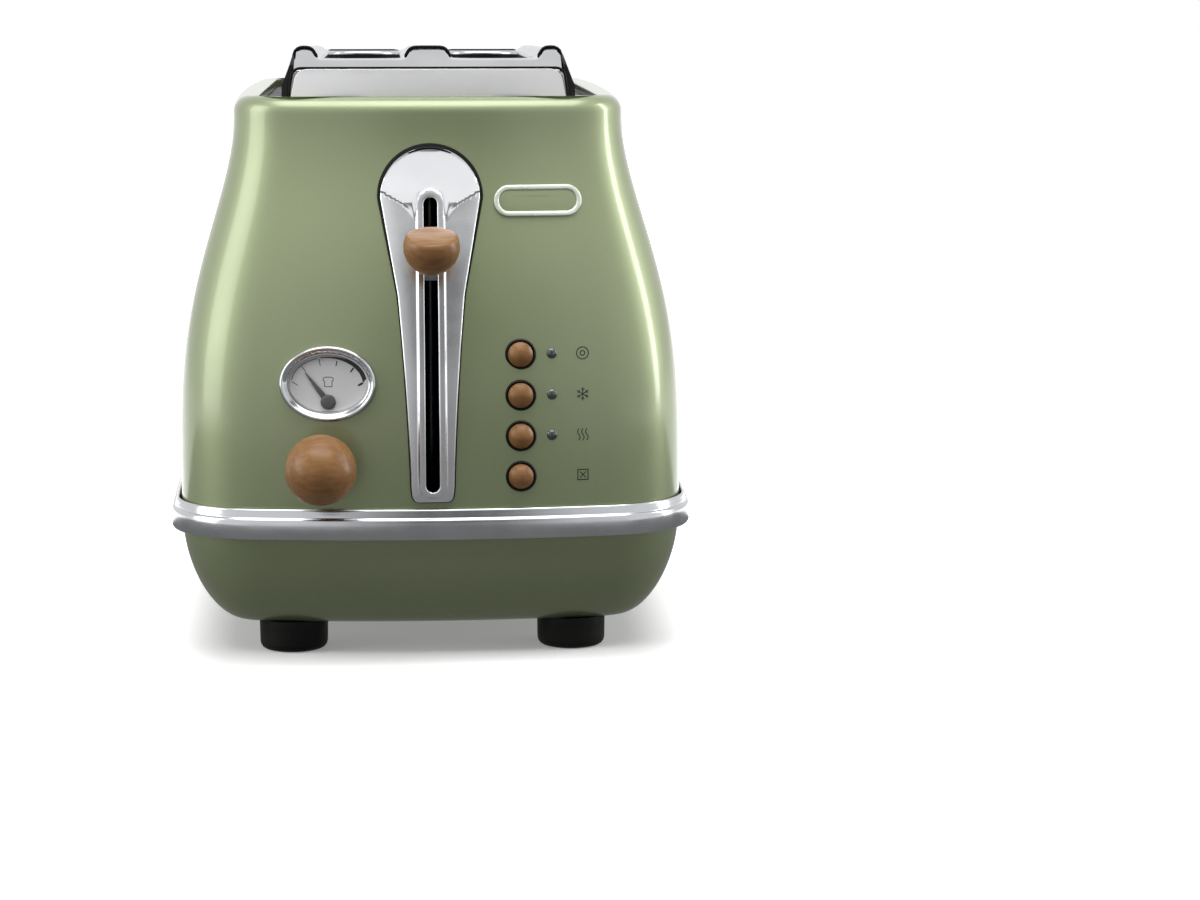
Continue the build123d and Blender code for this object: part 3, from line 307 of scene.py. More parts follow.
class Groups:
    """Shader node groups that several finishes share."""

    def __init__(self) -> None:
        """Build every group once."""
        self.cloud = self._cloud()
        self.flake = self._flake()
        self.grain = self._grain()
        self.streaks = self._streaks()

    @staticmethod
    def _start(name: str, **inputs: object) -> tuple[Wiring, Sequence[NodeSocket]]:
        """Start a group that takes a vector.

        Args:
            name: the group's name.
            inputs: default values of its other inputs. Four numbers make a colour.

        Returns:
            Its wiring and the sockets of its inputs.
        """
        tree = bpy.data.node_groups.new(name, "ShaderNodeTree")
        tree.interface.new_socket(name="Vector", in_out="INPUT", socket_type="NodeSocketVector")
        for key, value in inputs.items():
            kind = "NodeSocketColor" if isinstance(value, tuple) else "NodeSocketFloat"
            tree.interface.new_socket(name=key, in_out="INPUT", socket_type=kind).default_value = value
        wiring = Wiring(tree)
        return wiring, wiring.add("NodeGroupInput").outputs

    @staticmethod
    def _end(wiring: Wiring, **outputs: NodeSocket) -> NodeTree:
        """Give a group its outputs and return it. The one named Colour is a colour."""
        for key in outputs:
            kind = "NodeSocketColor" if key == "Colour" else "NodeSocketFloat"
            wiring.tree.interface.new_socket(name=key, in_out="OUTPUT", socket_type=kind)
        wiring.feed(wiring.add("NodeGroupOutput"), outputs)
        return wiring.tree

    def _cloud(self) -> NodeTree:
        """Soft patches, as of handling or dust, between two levels."""
        wiring, given = self._start("cloud", Scale=40.0, Low=0.0, High=1.0)
        noise = wiring.noise(given["Vector"], given["Scale"], 4.0)
        ranged = wiring.add("MapRange", {0: noise, 1: 0.32, 2: 0.68, 3: given["Low"], 4: given["High"]})
        return self._end(wiring, Value=ranged.outputs[0])

    def _flake(self) -> NodeTree:
        """Fine metal flakes in a paint, and the slow ripple of its surface."""
        wiring, given = self._start("flake", Fineness=5200.0, Ripples=260.0)
        flakes = wiring.add("TexVoronoi", {"Vector": given["Vector"], "Scale": given["Fineness"]})
        parts = wiring.add("SeparateColor", {0: flakes.outputs["Color"]})
        ripple = wiring.noise(given["Vector"], given["Ripples"], 1.0)
        return self._end(wiring, Flake=parts.outputs[0], Ripple=ripple)

    def _grain(self) -> NodeTree:
        """Wood's growth lines and pores, in coordinates that run along X with the grain."""
        wiring, given = self._start("grain", Light=(0.5, 0.3, 0.2, 1.0), Dark=(0.2, 0.1, 0.05, 1.0))
        where = given["Vector"]
        stretched = wiring.add("Mapping", {"Vector": where, "Scale": (90.0, 620.0, 620.0)}).outputs[0]
        fine = wiring.add("Mapping", {"Vector": where, "Scale": (420.0, 4200.0, 4200.0)}).outputs[0]
        lines = wiring.between(wiring.noise(stretched, 1.0, 5.0), 0.0, 0.6, 0.32, 0.70)
        pores = wiring.between(wiring.noise(fine, 1.0, 2.0), 0.2, 0.0, 0.30, 0.42)
        patch = wiring.between(wiring.noise(where, 70.0, 2.0), 0.0, 0.25, 0.35, 0.65)
        total = wiring.number("ADD", wiring.number("ADD", lines, pores), patch, clamp=True)
        mix = wiring.add("Mix", {0: total, 6: given["Light"], 7: given["Dark"]}, data_type="RGBA")
        return self._end(wiring, Colour=mix.outputs[2], Height=wiring.number("SUBTRACT", 1.0, total))

    def _streaks(self) -> NodeTree:
        """Fine lines of rolled or brushed metal, along X of the given coordinates."""
        wiring, given = self._start("streaks", Fineness=3000.0)
        shrunk = wiring.add("Mapping", {"Vector": given["Vector"], "Scale": (0.02, 1.0, 1.0)})
        return self._end(wiring, Value=wiring.noise(shrunk.outputs[0], given["Fineness"], 3.0))


@dataclass(frozen=True)
class Surface:
    """Values of one finish.

    Colours are linear. Rough goes from the clean to the handled parts of the surface.
    """

    colour: Colour
    second: Colour
    rough: Flat
    metallic: float = 0.0
    coat: float = 0.0
    coat_rough: float = 0.05
    patch_scale: float = 60.0
    bump_scale: float = 900.0
    bump: float = 0.0
    streaked: bool = False
    streak_turn: Point = (0.0, 0.0, 0.0)
    alpha: float = 1.0
    specular: float = 0.5


PAINT_DEEP: Colour = (0.235, 0.275, 0.150)
PAINT_LIGHT: Colour = (0.275, 0.320, 0.185)
PAINT_SHEEN: Colour = (0.60, 0.63, 0.54)
WOOD_LIGHT: Colour = (0.310, 0.150, 0.048)
WOOD_DARK: Colour = (0.200, 0.088, 0.025)

SURFACES: dict[Finish, Surface] = {
    Finish.CHROME: Surface(
        (0.80, 0.81, 0.83), (0.74, 0.75, 0.77), (0.045, 0.11), metallic=1.0, bump_scale=120, bump=0.012,
        patch_scale=45,
    ),
    Finish.BLACK: Surface(
        (0.006, 0.006, 0.007), (0.012, 0.012, 0.013), (0.36, 0.50), bump_scale=2600, bump=0.1, specular=0.15
    ),
    Finish.RUBBER: Surface(
        (0.006, 0.006, 0.006), (0.013, 0.013, 0.012), (0.42, 0.60), bump_scale=1800, bump=0.15, specular=0.12
    ),
    Finish.SHEET: Surface(
        (0.46, 0.47, 0.48), (0.58, 0.58, 0.58), (0.26, 0.42), metallic=1.0, bump_scale=500, bump=0.03,
        streaked=True,
    ),
    Finish.BRIGHT: Surface((0.16, 0.16, 0.16), (0.12, 0.12, 0.12), (0.24, 0.36), metallic=1.0, bump=0.02),
    Finish.TRAY: Surface(
        (0.60, 0.60, 0.61), (0.52, 0.52, 0.53), (0.30, 0.44), metallic=1.0, streaked=True,
        streak_turn=(0, 0, math.pi / 2), bump=0.02,
    ),
    Finish.MICA: Surface(
        (0.33, 0.26, 0.17), (0.45, 0.38, 0.27), (0.35, 0.6), patch_scale=180, bump_scale=1400, bump=0.15,
        coat=0.3, coat_rough=0.25,
    ),
    Finish.RIBBON: Surface(
        (0.11, 0.10, 0.10), (0.20, 0.17, 0.15), (0.35, 0.55), metallic=1.0, bump_scale=2400, bump=0.06
    ),
    Finish.BOARD: Surface(
        (0.015, 0.09, 0.035), (0.025, 0.13, 0.05), (0.30, 0.42), coat=0.4, patch_scale=400, bump=0.05
    ),
    Finish.DIAL: Surface(
        (0.90, 0.90, 0.90), (0.84, 0.84, 0.85), (0.36, 0.44), metallic=0.1, bump_scale=3000, bump=0.02
    ),
    Finish.NEEDLE: Surface((0.13, 0.13, 0.13), (0.17, 0.17, 0.17), (0.32, 0.45), bump=0.03, specular=0.2),
    Finish.CLEAR: Surface((0.02, 0.02, 0.02), (0.03, 0.03, 0.03), (0.02, 0.06), alpha=0.06, specular=0.6),
    Finish.LAMP: Surface(
        (0.020, 0.026, 0.026), (0.06, 0.075, 0.075), (0.03, 0.08), coat=1.0, patch_scale=700
    ),
    Finish.INK: Surface((0.010, 0.011, 0.009), (0.020, 0.021, 0.016), (0.42, 0.52), bump=0.03),
    Finish.PALE_INK: Surface((0.14, 0.14, 0.14), (0.19, 0.19, 0.19), (0.42, 0.52), bump=0.03),
    Finish.SATIN: Surface((0.80, 0.81, 0.83), (0.76, 0.77, 0.79), (0.17, 0.21), metallic=1.0, bump=0.02),
    Finish.TRIM: Surface((0.56, 0.57, 0.59), (0.51, 0.52, 0.54), (0.15, 0.20), metallic=1.0, bump=0.02),
    Finish.COVER: Surface((0.54, 0.55, 0.56), (0.49, 0.50, 0.51), (0.20, 0.26), metallic=1.0, bump=0.02),
    # End plates: chrome given a near-white base, a painted reflection of the bright surroundings.
    Finish.PALE: Surface((0.93, 0.93, 0.94), (0.90, 0.90, 0.92), (0.30, 0.36), metallic=0.4, bump=0.02),
    Finish.PEARL: Surface(
        (0.74, 0.78, 0.68), (0.66, 0.70, 0.60), (0.22, 0.34), metallic=0.35, bump=0.03, coat=0.5
    ),
}

SLOTS: dict[Finish, str] = {
    Finish.PAINT: "shell_paint",
    Finish.CHROME: "chrome",
    Finish.WOOD: "wood",
    Finish.BLACK: "black_plastic",
    Finish.RUBBER: "rubber",
    Finish.SHEET: "steel",
    Finish.BRIGHT: "bright_steel",
    Finish.TRAY: "tray_metal",
    Finish.MICA: "mica",
    Finish.RIBBON: "heating_wire",
    Finish.BOARD: "board",
    Finish.DIAL: "dial_white",
    Finish.NEEDLE: "needle_grey",
    Finish.CLEAR: "clear_lens",
    Finish.LAMP: "lamp_lens",
    Finish.INK: "black_plastic",
    Finish.PALE_INK: "black_plastic",
    Finish.PEARL: "chrome",
    Finish.SATIN: "chrome",
    Finish.TRIM: "chrome",
    Finish.COVER: "chrome",
    Finish.PALE: "chrome",
}
# The first finish of a slot is the one that a carried-over piece gets.
FINISH_OF_SLOT: dict[str, Finish] = {slot: finish for finish, slot in reversed(SLOTS.items())} | {
    "tub_paint": Finish.PAINT,
    "belt_rubber": Finish.RUBBER,
}


class FinishBook:
    """Builds each finish once and hands it out."""

    def __init__(self) -> None:
        """Build the shared groups and every material."""
        self.groups = Groups()
        self.materials = {key: self._plain(key.value, values) for key, values in SURFACES.items()}
        self.materials[Finish.PAINT] = self._paint()
        self.materials[Finish.WOOD] = self._wood()

    @staticmethod
    def _start(name: str) -> tuple[Material, Wiring, Node, NodeSocket]:
        """Start a material: the material, its wiring, its shader and object coordinates."""
        material = bpy.data.materials.new(name)
        material.use_nodes = True
        wiring = Wiring(material.node_tree)
        shader = material.node_tree.nodes["Principled BSDF"]
        return material, wiring, shader, wiring.add("TexCoord").outputs["Object"]

    @staticmethod
    def _bump(wiring: Wiring, height: NodeSocket, strength: float, depth: float) -> NodeSocket:
        """Normal of a surface with a relief, its depth in millimetres."""
        return wiring.add("Bump", {"Height": height, "Strength": strength, "Distance": depth * MM}).outputs[0]

    def _plain(self, name: str, values: Surface) -> Material:
        """Material with patches of two colours, uneven gloss and fine bumps."""
        material, wiring, shader, where = self._start(name)
        low, high = values.rough
        scale = values.patch_scale
        patches = wiring.group(self.groups.cloud, Vector=where, Scale=scale)
        handled = wiring.group(self.groups.cloud, Vector=where, Scale=scale * 2.3, Low=low, High=high)
        height = wiring.noise(where, values.bump_scale, 2.0)
        if values.streaked:
            turned = wiring.add("Mapping", {"Vector": where, "Rotation": values.streak_turn})
            lines = wiring.group(self.groups.streaks, Vector=turned.outputs[0])
            height = wiring.number("ADD", height, lines["Value"])
        if values.bump:
            wiring.feed(shader, {"Normal": self._bump(wiring, height, values.bump, 0.2)})
        wiring.feed(shader, {
            "Base Color": wiring.blend(patches["Value"], values.colour, values.second),
            "Roughness": handled["Value"],
            "Metallic": values.metallic,
            "Coat Weight": values.coat,
            "Coat Roughness": values.coat_rough,
            "Specular IOR Level": values.specular,
            "Alpha": values.alpha,
        })
        return material

    def _paint(self) -> Material:
        """Pearl olive-green enamel: metal flake under a clear, slightly rippled coat."""
        material, wiring, shader, where = self._start(Finish.PAINT.value)
        flake = wiring.group(self.groups.flake, Vector=where)
        share = wiring.between(flake["Flake"], 0.35, 0.65, 0.0, 1.0)
        wiring.feed(shader, {
            "Base Color": wiring.blend(share, PAINT_DEEP, PAINT_LIGHT),
            "Roughness": wiring.group(
                self.groups.cloud, Vector=where, Scale=30.0, Low=0.38, High=0.44
            )["Value"],
            "Normal": self._bump(wiring, flake["Ripple"], 0.03, 0.1),
            "Metallic": 0.6,
            "Coat Weight": 1.0,
            "Coat Roughness": 0.12,
            "Coat IOR": 1.4,
            "Specular Tint": (*PAINT_SHEEN, 1),
        })
        return material

    def _wood(self) -> Material:
        """Stained beech under a satin varnish."""
        material, wiring, shader, where = self._start(Finish.WOOD.value)
        grain = wiring.group(self.groups.grain, Vector=where, Light=(*WOOD_LIGHT, 1), Dark=(*WOOD_DARK, 1))
        wiring.feed(shader, {
            "Base Color": grain["Colour"],
            "Roughness": wiring.between(grain["Height"], 0.50, 0.36),
            "Normal": self._bump(wiring, grain["Height"], 0.12, 0.1),
            "Specular IOR Level": 0.3,
            "Coat Weight": 0.15,
            "Coat Roughness": 0.28,
        })
        return material

    def dress(self, piece: Object, finish: Finish) -> None:
        """Give a piece one finish all over."""
        piece.data.materials.clear()
        piece.data.materials.append(self.materials[finish])


# The toaster's form


def box_mm(node: str) -> tuple[Vector, Vector]:
    """A node's lowest and highest corners in millimetres."""
    low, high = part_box(node)
    return low / MM, high / MM


def smooth_step(start: float, end: float, value: float) -> float:
    """From 0 to 1 with soft ends as a value goes from start to end."""
    share = min(max((value - start) / (end - start), 0.0), 1.0)
    return share * share * (3 - 2 * share)


@dataclass(frozen=True)
class Counts:
    """How many steps an outline takes on each stretch of a quarter turn."""

    front: int = 26
    corner: int = 12
    side: int = 22


BAND_LOW, BAND_HIGH = box_mm("trim_band")


@dataclass(frozen=True)
class Body:
    """Sizes of the casing and the curves that follow from them."""

    half_width: float = 96.0
    half_length: float = 139.0
    middle_y: float = (BAND_LOW.y + BAND_HIGH.y) / 2
    front_bow: float = 5.0
    side_bow: float = 2.0
    corner_low: float = 32.0
    corner_high: float = 24.0
    side_flare: float = 21.5
    end_flare: float = 18.3
    flare_start: float = 61.0
    flare_span: float = 140.0
    flare_power: float = 1.654
    bottom: float = 50.0
    top: float = 208.4
    rim_radius: float = 6.0
    wall: float = 1.2
    tub_top: float = 48.5
    tub_height: float = 36.5
    tub_inset: float = 0.3
    tub_curve: float = 20.6
    tub_power: float = 1.7

    def sizes(self, height: float) -> Point:
        """Half width, half length and corner radius at a height."""
        climb = min(max((height - self.flare_start) / self.flare_span, 0.0), 1.0) ** self.flare_power
        share = climb * climb * (3 - 2 * climb)
        return (
            self.half_width - self.side_flare * share,
            self.half_length - self.end_flare * share,
            self.corner_low - (self.corner_low - self.corner_high) * share,
        )

    @staticmethod
    def arc_radius(half_chord: float, bow: float) -> float:
        """Radius of an arc that bulges by bow over a chord."""
        return (half_chord**2 + bow**2) / (2 * bow)

    def outline(
        self, sizes: Point, grow: float, height: float, counts: Counts = Counts(), bows: Flat | None = None
    ) -> Ring:
        """Rounded rectangle with bowed sides as a ring of points.

        Args:
            sizes: half width, half length and corner radius.
            grow: how far the outline is moved outwards.
            height: its height.
            counts: steps on each stretch.
            bows: bulge of the front and of the side.

        Returns:
            Its points, from the middle of the front round by the right.
        """
        half_width, half_length, corner = sizes
        front_bow, side_bow = bows or (self.front_bow, self.side_bow)
        front_radius = self.arc_radius(half_width - corner, front_bow)
        side_radius = self.arc_radius(half_length - corner, side_bow)
        front_centre = Vector((0, front_radius - half_length))
        side_centre = Vector((half_width - side_radius, 0))
        across = side_centre - front_centre
        along = (front_radius - corner) ** 2 - (side_radius - corner) ** 2 + across.length**2
        along /= 2 * across.length
        away = math.sqrt(max((front_radius - corner) ** 2 - along**2, 0))
        step = across.normalized()
        centre = front_centre + step * along + Vector((-step.y, step.x)) * away
        first = math.atan2(*(centre - front_centre).yx)
        second = math.atan2(*(centre - side_centre).yx)
        quarter: list[Flat] = []
        for middle, radius, start, end, steps in (
            (front_centre, front_radius, -math.pi / 2, first, counts.front),
            (centre, corner, first, second, counts.corner),
            (side_centre, side_radius, second, 0.0, counts.side),
        ):
            for index in range(steps):
                turn = start + (end - start) * index / steps
                reach = radius + grow
                quarter.append((middle.x + reach * math.cos(turn), middle.y + reach * math.sin(turn)))
        quarter.append((half_width + grow, 0.0))
        loop = quarter + [(x, -y) for x, y in reversed(quarter[:-1])]
        loop += [(-x, -y) for x, y in quarter[1:]] + [(-x, y) for x, y in reversed(quarter[1:-1])]
        return [(x, y + self.middle_y, height) for x, y in loop]

    def section(self, height: float, grow: float = 0.0) -> Ring:
        """Outline of the shell at a height."""
        return self.outline(self.sizes(height), grow, height)

    def face_y(self, x: float, height: float) -> float:
        """Y of the shell's front face at a place on it."""
        half_width, half_length, corner = self.sizes(height)
        radius = self.arc_radius(half_width - corner, self.front_bow)
        return self.middle_y - half_length + radius - math.sqrt(radius**2 - x**2)

    def on_face(self, x: float, height: float, proud: float) -> Point:
        """Place in front of the shell's face by a distance."""
        return (x, self.face_y(x, height) - proud, height)

    def tub_grow(self, height: float) -> float:
        """How far the tub draws in at a height."""
        share = min(max((self.tub_top - height) / self.tub_height, 0.0), 1.0)
        return -self.tub_inset - self.tub_curve * (1 - (1 - share**self.tub_power) ** (1 / self.tub_power))


BODY = Body()


@dataclass(frozen=True)
class Front:
    """Where the buttons, their lights and their symbols are, from the top one down."""

    button_x: float = 32.5
    light_x: float = 44.0
    symbol_x: float = 55.5
    names: tuple[str, ...] = ("bagel", "defrost", "reheat", "cancel")
    heights: tuple[float, ...] = (115.0, 100.0, 85.0, 70.0)
    lights: int = 3


FRONT = Front()


def joint_place(name: str) -> tuple[Vector, Vector]:
    """A joint's place in millimetres and its axis."""
    joint = next(item for item in frame["joints"] if item["name"] == name)
    return Vector(joint["pos_m"]) / MM, Vector(joint["axis"]).normalized()


class Dial:
    """The plane that carries the gauge, its needle and the browning knob."""

    width = 35.8
    tall = 28.0
    needle_drop = 6.8
    ball_radius = 13.0
    stand_off = 2.2

    def __init__(self) -> None:
        """Take the plane from the needle's and the knob's joints."""
        hub, axis = joint_place("needle_turn")
        self.knob, _ = joint_place("browning_turn")
        self.out = -axis
        self.across = Vector((-self.out.y, self.out.x, 0)).normalized()
        self.up = self.out.cross(self.across)
        self.origin = hub + self.up * self.needle_drop
        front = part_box("browning_knob")[0].y / MM + self.ball_radius
        ball_level = (front - self.knob.y) / self.out.y
        self.knob_face = ball_level - self.ball_radius - self.stand_off

    def place(self, x: float, y: float, level: float) -> Point:
        """Place in the plane's own measures, from the gauge's middle."""
        return tuple(self.origin + self.across * x + self.up * y + self.out * level)

    def knob_place(self, x: float, y: float, level: float) -> Point:
        """Place in the plane's own measures, from the knob's axis."""
        return tuple(self.knob + self.across * x + self.up * y + self.out * level)


DIAL = Dial()


def circle(radius: float, count: int, wide: float = 1.0) -> list[Flat]:
    """Points round a circle, or an oval that is wider than tall."""
    turns = [TAU * index / count for index in range(count)]
    return [(radius * wide * math.cos(turn), radius * math.sin(turn)) for turn in turns]


def stadium(half_width: float, half_tall: float, count: int) -> list[Flat]:
    """Points round a slot with round ends, anticlockwise.

    Args:
        half_width: half its size on the first axis.
        half_tall: half its size on the second axis.
        count: how many points, a multiple of four.

    Returns:
        The points.
    """
    radius = min(half_width, half_tall)
    run = abs(half_width - half_tall)
    half = count // 2
    arc = max(half // 2, 6)
    straight = half - arc
    points: list[Flat] = []
    for side in (1, -1):
        for index in range(arc):
            turn = -math.pi / 2 + math.pi * index / arc
            points.append((side * (run + radius * math.cos(turn)), side * radius * math.sin(turn)))
        for index in range(straight):
            points.append((side * (run - 2 * run * index / straight), side * radius))
    return points if half_width > half_tall else [(-y, x) for x, y in points]


def turned(profile: Sequence[Flat], place: Place, count: int) -> list[Ring]:
    """Rings of a turned form, from the radius and the level of each and its count of points."""
    return [[place(x, y, level) for x, y in circle(radius, count)] for radius, level in profile]


class Builder:
    """What every sub-assembly needs: the finishes and a way to hand a piece over."""

    def __init__(self, finishes: FinishBook) -> None:
        """Keep the finishes."""
        self.finishes = finishes

    def hand_over(
        self,
        piece: Object,
        finish: Finish,
        *nodes: str,
        body: str = "root",
        slot: str = "",
        angle: float = 35,
    ) -> None:
        """Shade, dress and place a finished piece.

        Args:
            piece: the piece.
            finish: its finish.
            nodes: the carried-over pieces that it stands for.
            body: the body that it moves with.
            slot: the record's slot, if not the finish's own; not used.
            angle: sharpest edge that is still shaded smooth, in degrees.
        """
        only(piece)
        bpy.ops.object.shade_smooth_by_angle(angle=math.radians(angle))
        self.finishes.dress(piece, finish)
        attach(piece, body)
        slot or SLOTS[finish]
        if nodes:
            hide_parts(*nodes)
        log.info("%s: %d faces, rides on %s", piece.name, len(piece.data.polygons), body)

    def build(self) -> None:
        """Build the sub-assembly."""
        raise NotImplementedError


@dataclass
class ShellSizes:
    """Openings and steps of the shell and the tub."""

    level_step: float = 2.6
    opening: Point = (63.0, 112.7, 16.0)
    opening_bows: Flat = (0.05, 0.05)
    lip: float = 7.0
    slot_half: float = 3.0
    slot_low: float = 64.3
    slot_high: float = 172.7
    button_hole: float = 5.4
    light_hole: float = 1.8
    knob_hole: float = 3.3
    gauge_margin: float = 1.8
    tub_wall: float = 2.5
    vent: Flat = (1.5, 17.0)
    vent_pitch: float = 9.0
    window_half: float = 51.0
    window_low: float = 16.4
    window_high: float = 29.6
    grommet: Point = (-40.0, 38.5, 7.0)


class Shell(Builder):
    """The flared casing, its trim band and the tub below."""

    sizes = ShellSizes()
    band_profile = (
        (0.9, 58.0), (0.9, 50.0), (-2.8, 50.0), (-2.8, 48.5), (0.1, 48.5), (0.1, 47.0), (2.5, 47.0),
        (3.05, 47.1), (3.45, 47.4), (3.72, 47.9), (3.88, 48.6), (3.95, 49.6), (3.96, 51.0), (3.93, 52.4),
        (3.86, 53.6), (3.72, 54.4), (3.5, 54.85), (3.2, 55.05), (2.85, 55.1), (2.65, 55.2), (2.55, 55.4),
        (2.5, 55.8), (2.3, 56.6), (2.12, 57.2), (2.02, 57.8), (1.85, 58.2), (1.55, 58.45), (1.2, 58.45),
        (1.0, 58.3),
    )

    def build(self) -> None:
        """Build the casing, the band and the tub."""
        self.casing()
        self.band()
        self.tub()

    def casing(self) -> None:
        """Outer wall, rounded rim, turned-in lip and inner wall, with the holes in the front."""
        s, wall, radius = self.sizes, BODY.wall, BODY.rim_radius
        high = BODY.top - radius
        tall = high - BODY.bottom
        steps = round(tall / s.level_step)
        rings = [BODY.section(BODY.bottom + tall * i / steps) for i in range(steps)]
        turns = [math.pi / 2 * index / 8 for index in range(9)]
        rings += [
            BODY.section(high + radius * math.sin(turn), -radius * (1 - math.cos(turn))) for turn in turns
        ]
        for grow, drop in ((1.0, 0.0), (0.3, 0.3), (0.0, 1.0), (0.0, s.lip), (wall, s.lip), (wall, 1.6)):
            rings.append(BODY.outline(s.opening, grow, BODY.top - drop, bows=s.opening_bows))
        inner = radius - wall
        for turn in turns[6::-3]:
            rings.append(BODY.section(high + inner * math.sin(turn), -wall - inner * (1 - math.cos(turn))))
        rings += [BODY.section(high - tall * index / 12, -wall) for index in range(1, 13)]
        piece = ring_form("casing", rings, closed=True)
        cut(piece, *self.hole_tools())
        self.hand_over(piece, Finish.PAINT, "outer_shell", angle=30)

    def hole_tools(self) -> list[Object]:
        """Forms of the slot, the gauge's, the knob's, the buttons' and the lights' holes."""
        s = self.sizes

        def tool(edge: Sequence[Flat], x: float, z: float) -> Object:
            """Form that reaches through the front at a place."""
            near = BAND_LOW.y
            return plate_form("tool", edge, near - 5, near + 30, lambda u, v, w: (x + u, w, z + v))

        slot = stadium(s.slot_half, (s.slot_high - s.slot_low) / 2, 32)
        tools = [tool(slot, 0, (s.slot_low + s.slot_high) / 2)]
        tools += [tool(circle(s.button_hole, 40), FRONT.button_x, height) for height in FRONT.heights]
        tools += [tool(circle(s.light_hole, 24), FRONT.light_x, z) for z in FRONT.heights[:FRONT.lights]]
        tall = DIAL.tall / 2 - s.gauge_margin
        oval = circle(tall, 72, (DIAL.width / 2 - s.gauge_margin) / tall)
        tools.append(plate_form("tool", oval, -12, 5, DIAL.place))
        tools.append(plate_form("tool", circle(s.knob_hole, 32), -12, 5, DIAL.knob_place))
        return tools

    def band(self) -> None:
        """Chrome band: a rounded main face, a groove and a bevelled upper edge, with its flange."""
        sizes = BODY.sizes(BODY.bottom)
        rings = [BODY.outline(sizes, grow, height, Counts(18, 14, 16)) for grow, height in self.band_profile]
        self.hand_over(ring_form("trim_ring", rings, closed=True), Finish.TRIM, "trim_band", angle=50)

    def tub(self) -> None:
        """Rounded base with its vents, the tray's window and the grommet's hole."""
        s = self.sizes
        low = BODY.tub_top - BODY.tub_height
        floor = low + s.tub_wall

        def ring(height: float, inset: float) -> Ring:
            """Outline of the tub at a height, inside its outer face by an inset."""
            return BODY.outline(
                BODY.sizes(BODY.bottom), BODY.tub_grow(height) - inset, max(height, floor if inset else low),
                Counts(16, 10, 16),
            )

        heights = [BODY.tub_top - BODY.tub_height * math.sin(math.pi / 2 * i / 22) for i in range(23)]
        outer = [ring(height, 0.0) for height in heights]
        inner = [ring(height, s.tub_wall) for height in heights[:-1]]
        bottom = [(x, y, low) for x, y, _ in ring(low, 6.0)]
        poles = [[(0.0, BODY.middle_y, height)] * len(bottom) for height in (low, floor)]
        piece = ring_form("tub", [poles[0], bottom, *outer[::-1], *inner, poles[1]])
        tools = []
        for index in range(-3, 4):
            x = index * s.vent_pitch
            tools.append(
                plate_form("tool", stadium(*s.vent, 24), 5, 20, lambda u, v, w: (x + u, BODY.middle_y + v, w))
            )
        half, foot, head = s.window_half, s.window_low, s.window_high
        window = [(-half, foot), (half, foot), (half, head), (-half, head)]
        tools.append(plate_form("tool", window, 110, 170, lambda u, v, w: (u, w, v)))
        x, z, radius = s.grommet
        tools.append(plate_form("tool", circle(radius, 40), 130, 160, lambda u, v, w: (x + u, w, z + v)))
        cut(piece, *tools)
        self.hand_over(piece, Finish.PAINT, "base_tub", slot="tub_paint", angle=30)


@dataclass
class LeverSizes:
    """Sizes of the lever's plate and knob."""

    head_radius: float = 18.3
    head_z: float = 172.0
    taper: Flat = (12.2, 137.0)
    waist: Flat = (9.3, 98.0)
    toe: Flat = (7.9, 66.0)
    bottom: Flat = (7.6, 61.0)
    toe_round: float = 2.5
    slot_half: float = 2.5
    slot_low: float = 64.8
    slot_high: float = 172.2
    foot: float = 0.05
    proud: float = 2.1
    rim_proud: float = 0.9
    rim_width: float = 2.1
    rim_edge: float = 0.3
    outer_edge: float = 0.45
    crease_outer: Flat = (18.2, 174.4)
    crease_inner: Flat = (7.4, 168.4)
    crease_step: float = 1.1
    head_lean: float = 0.13
    edge_fall: float = 0.12
    least_proud: float = 0.2
    # Widths of the black seal; the wider one, round the head, is partly painted shade.
    gasket_low: float = 0.45
    gasket_high: float = 1.35
    knob_radius: float = 10.2
    knob_flat: float = 4.4
    knob_tilt: float = 17.5


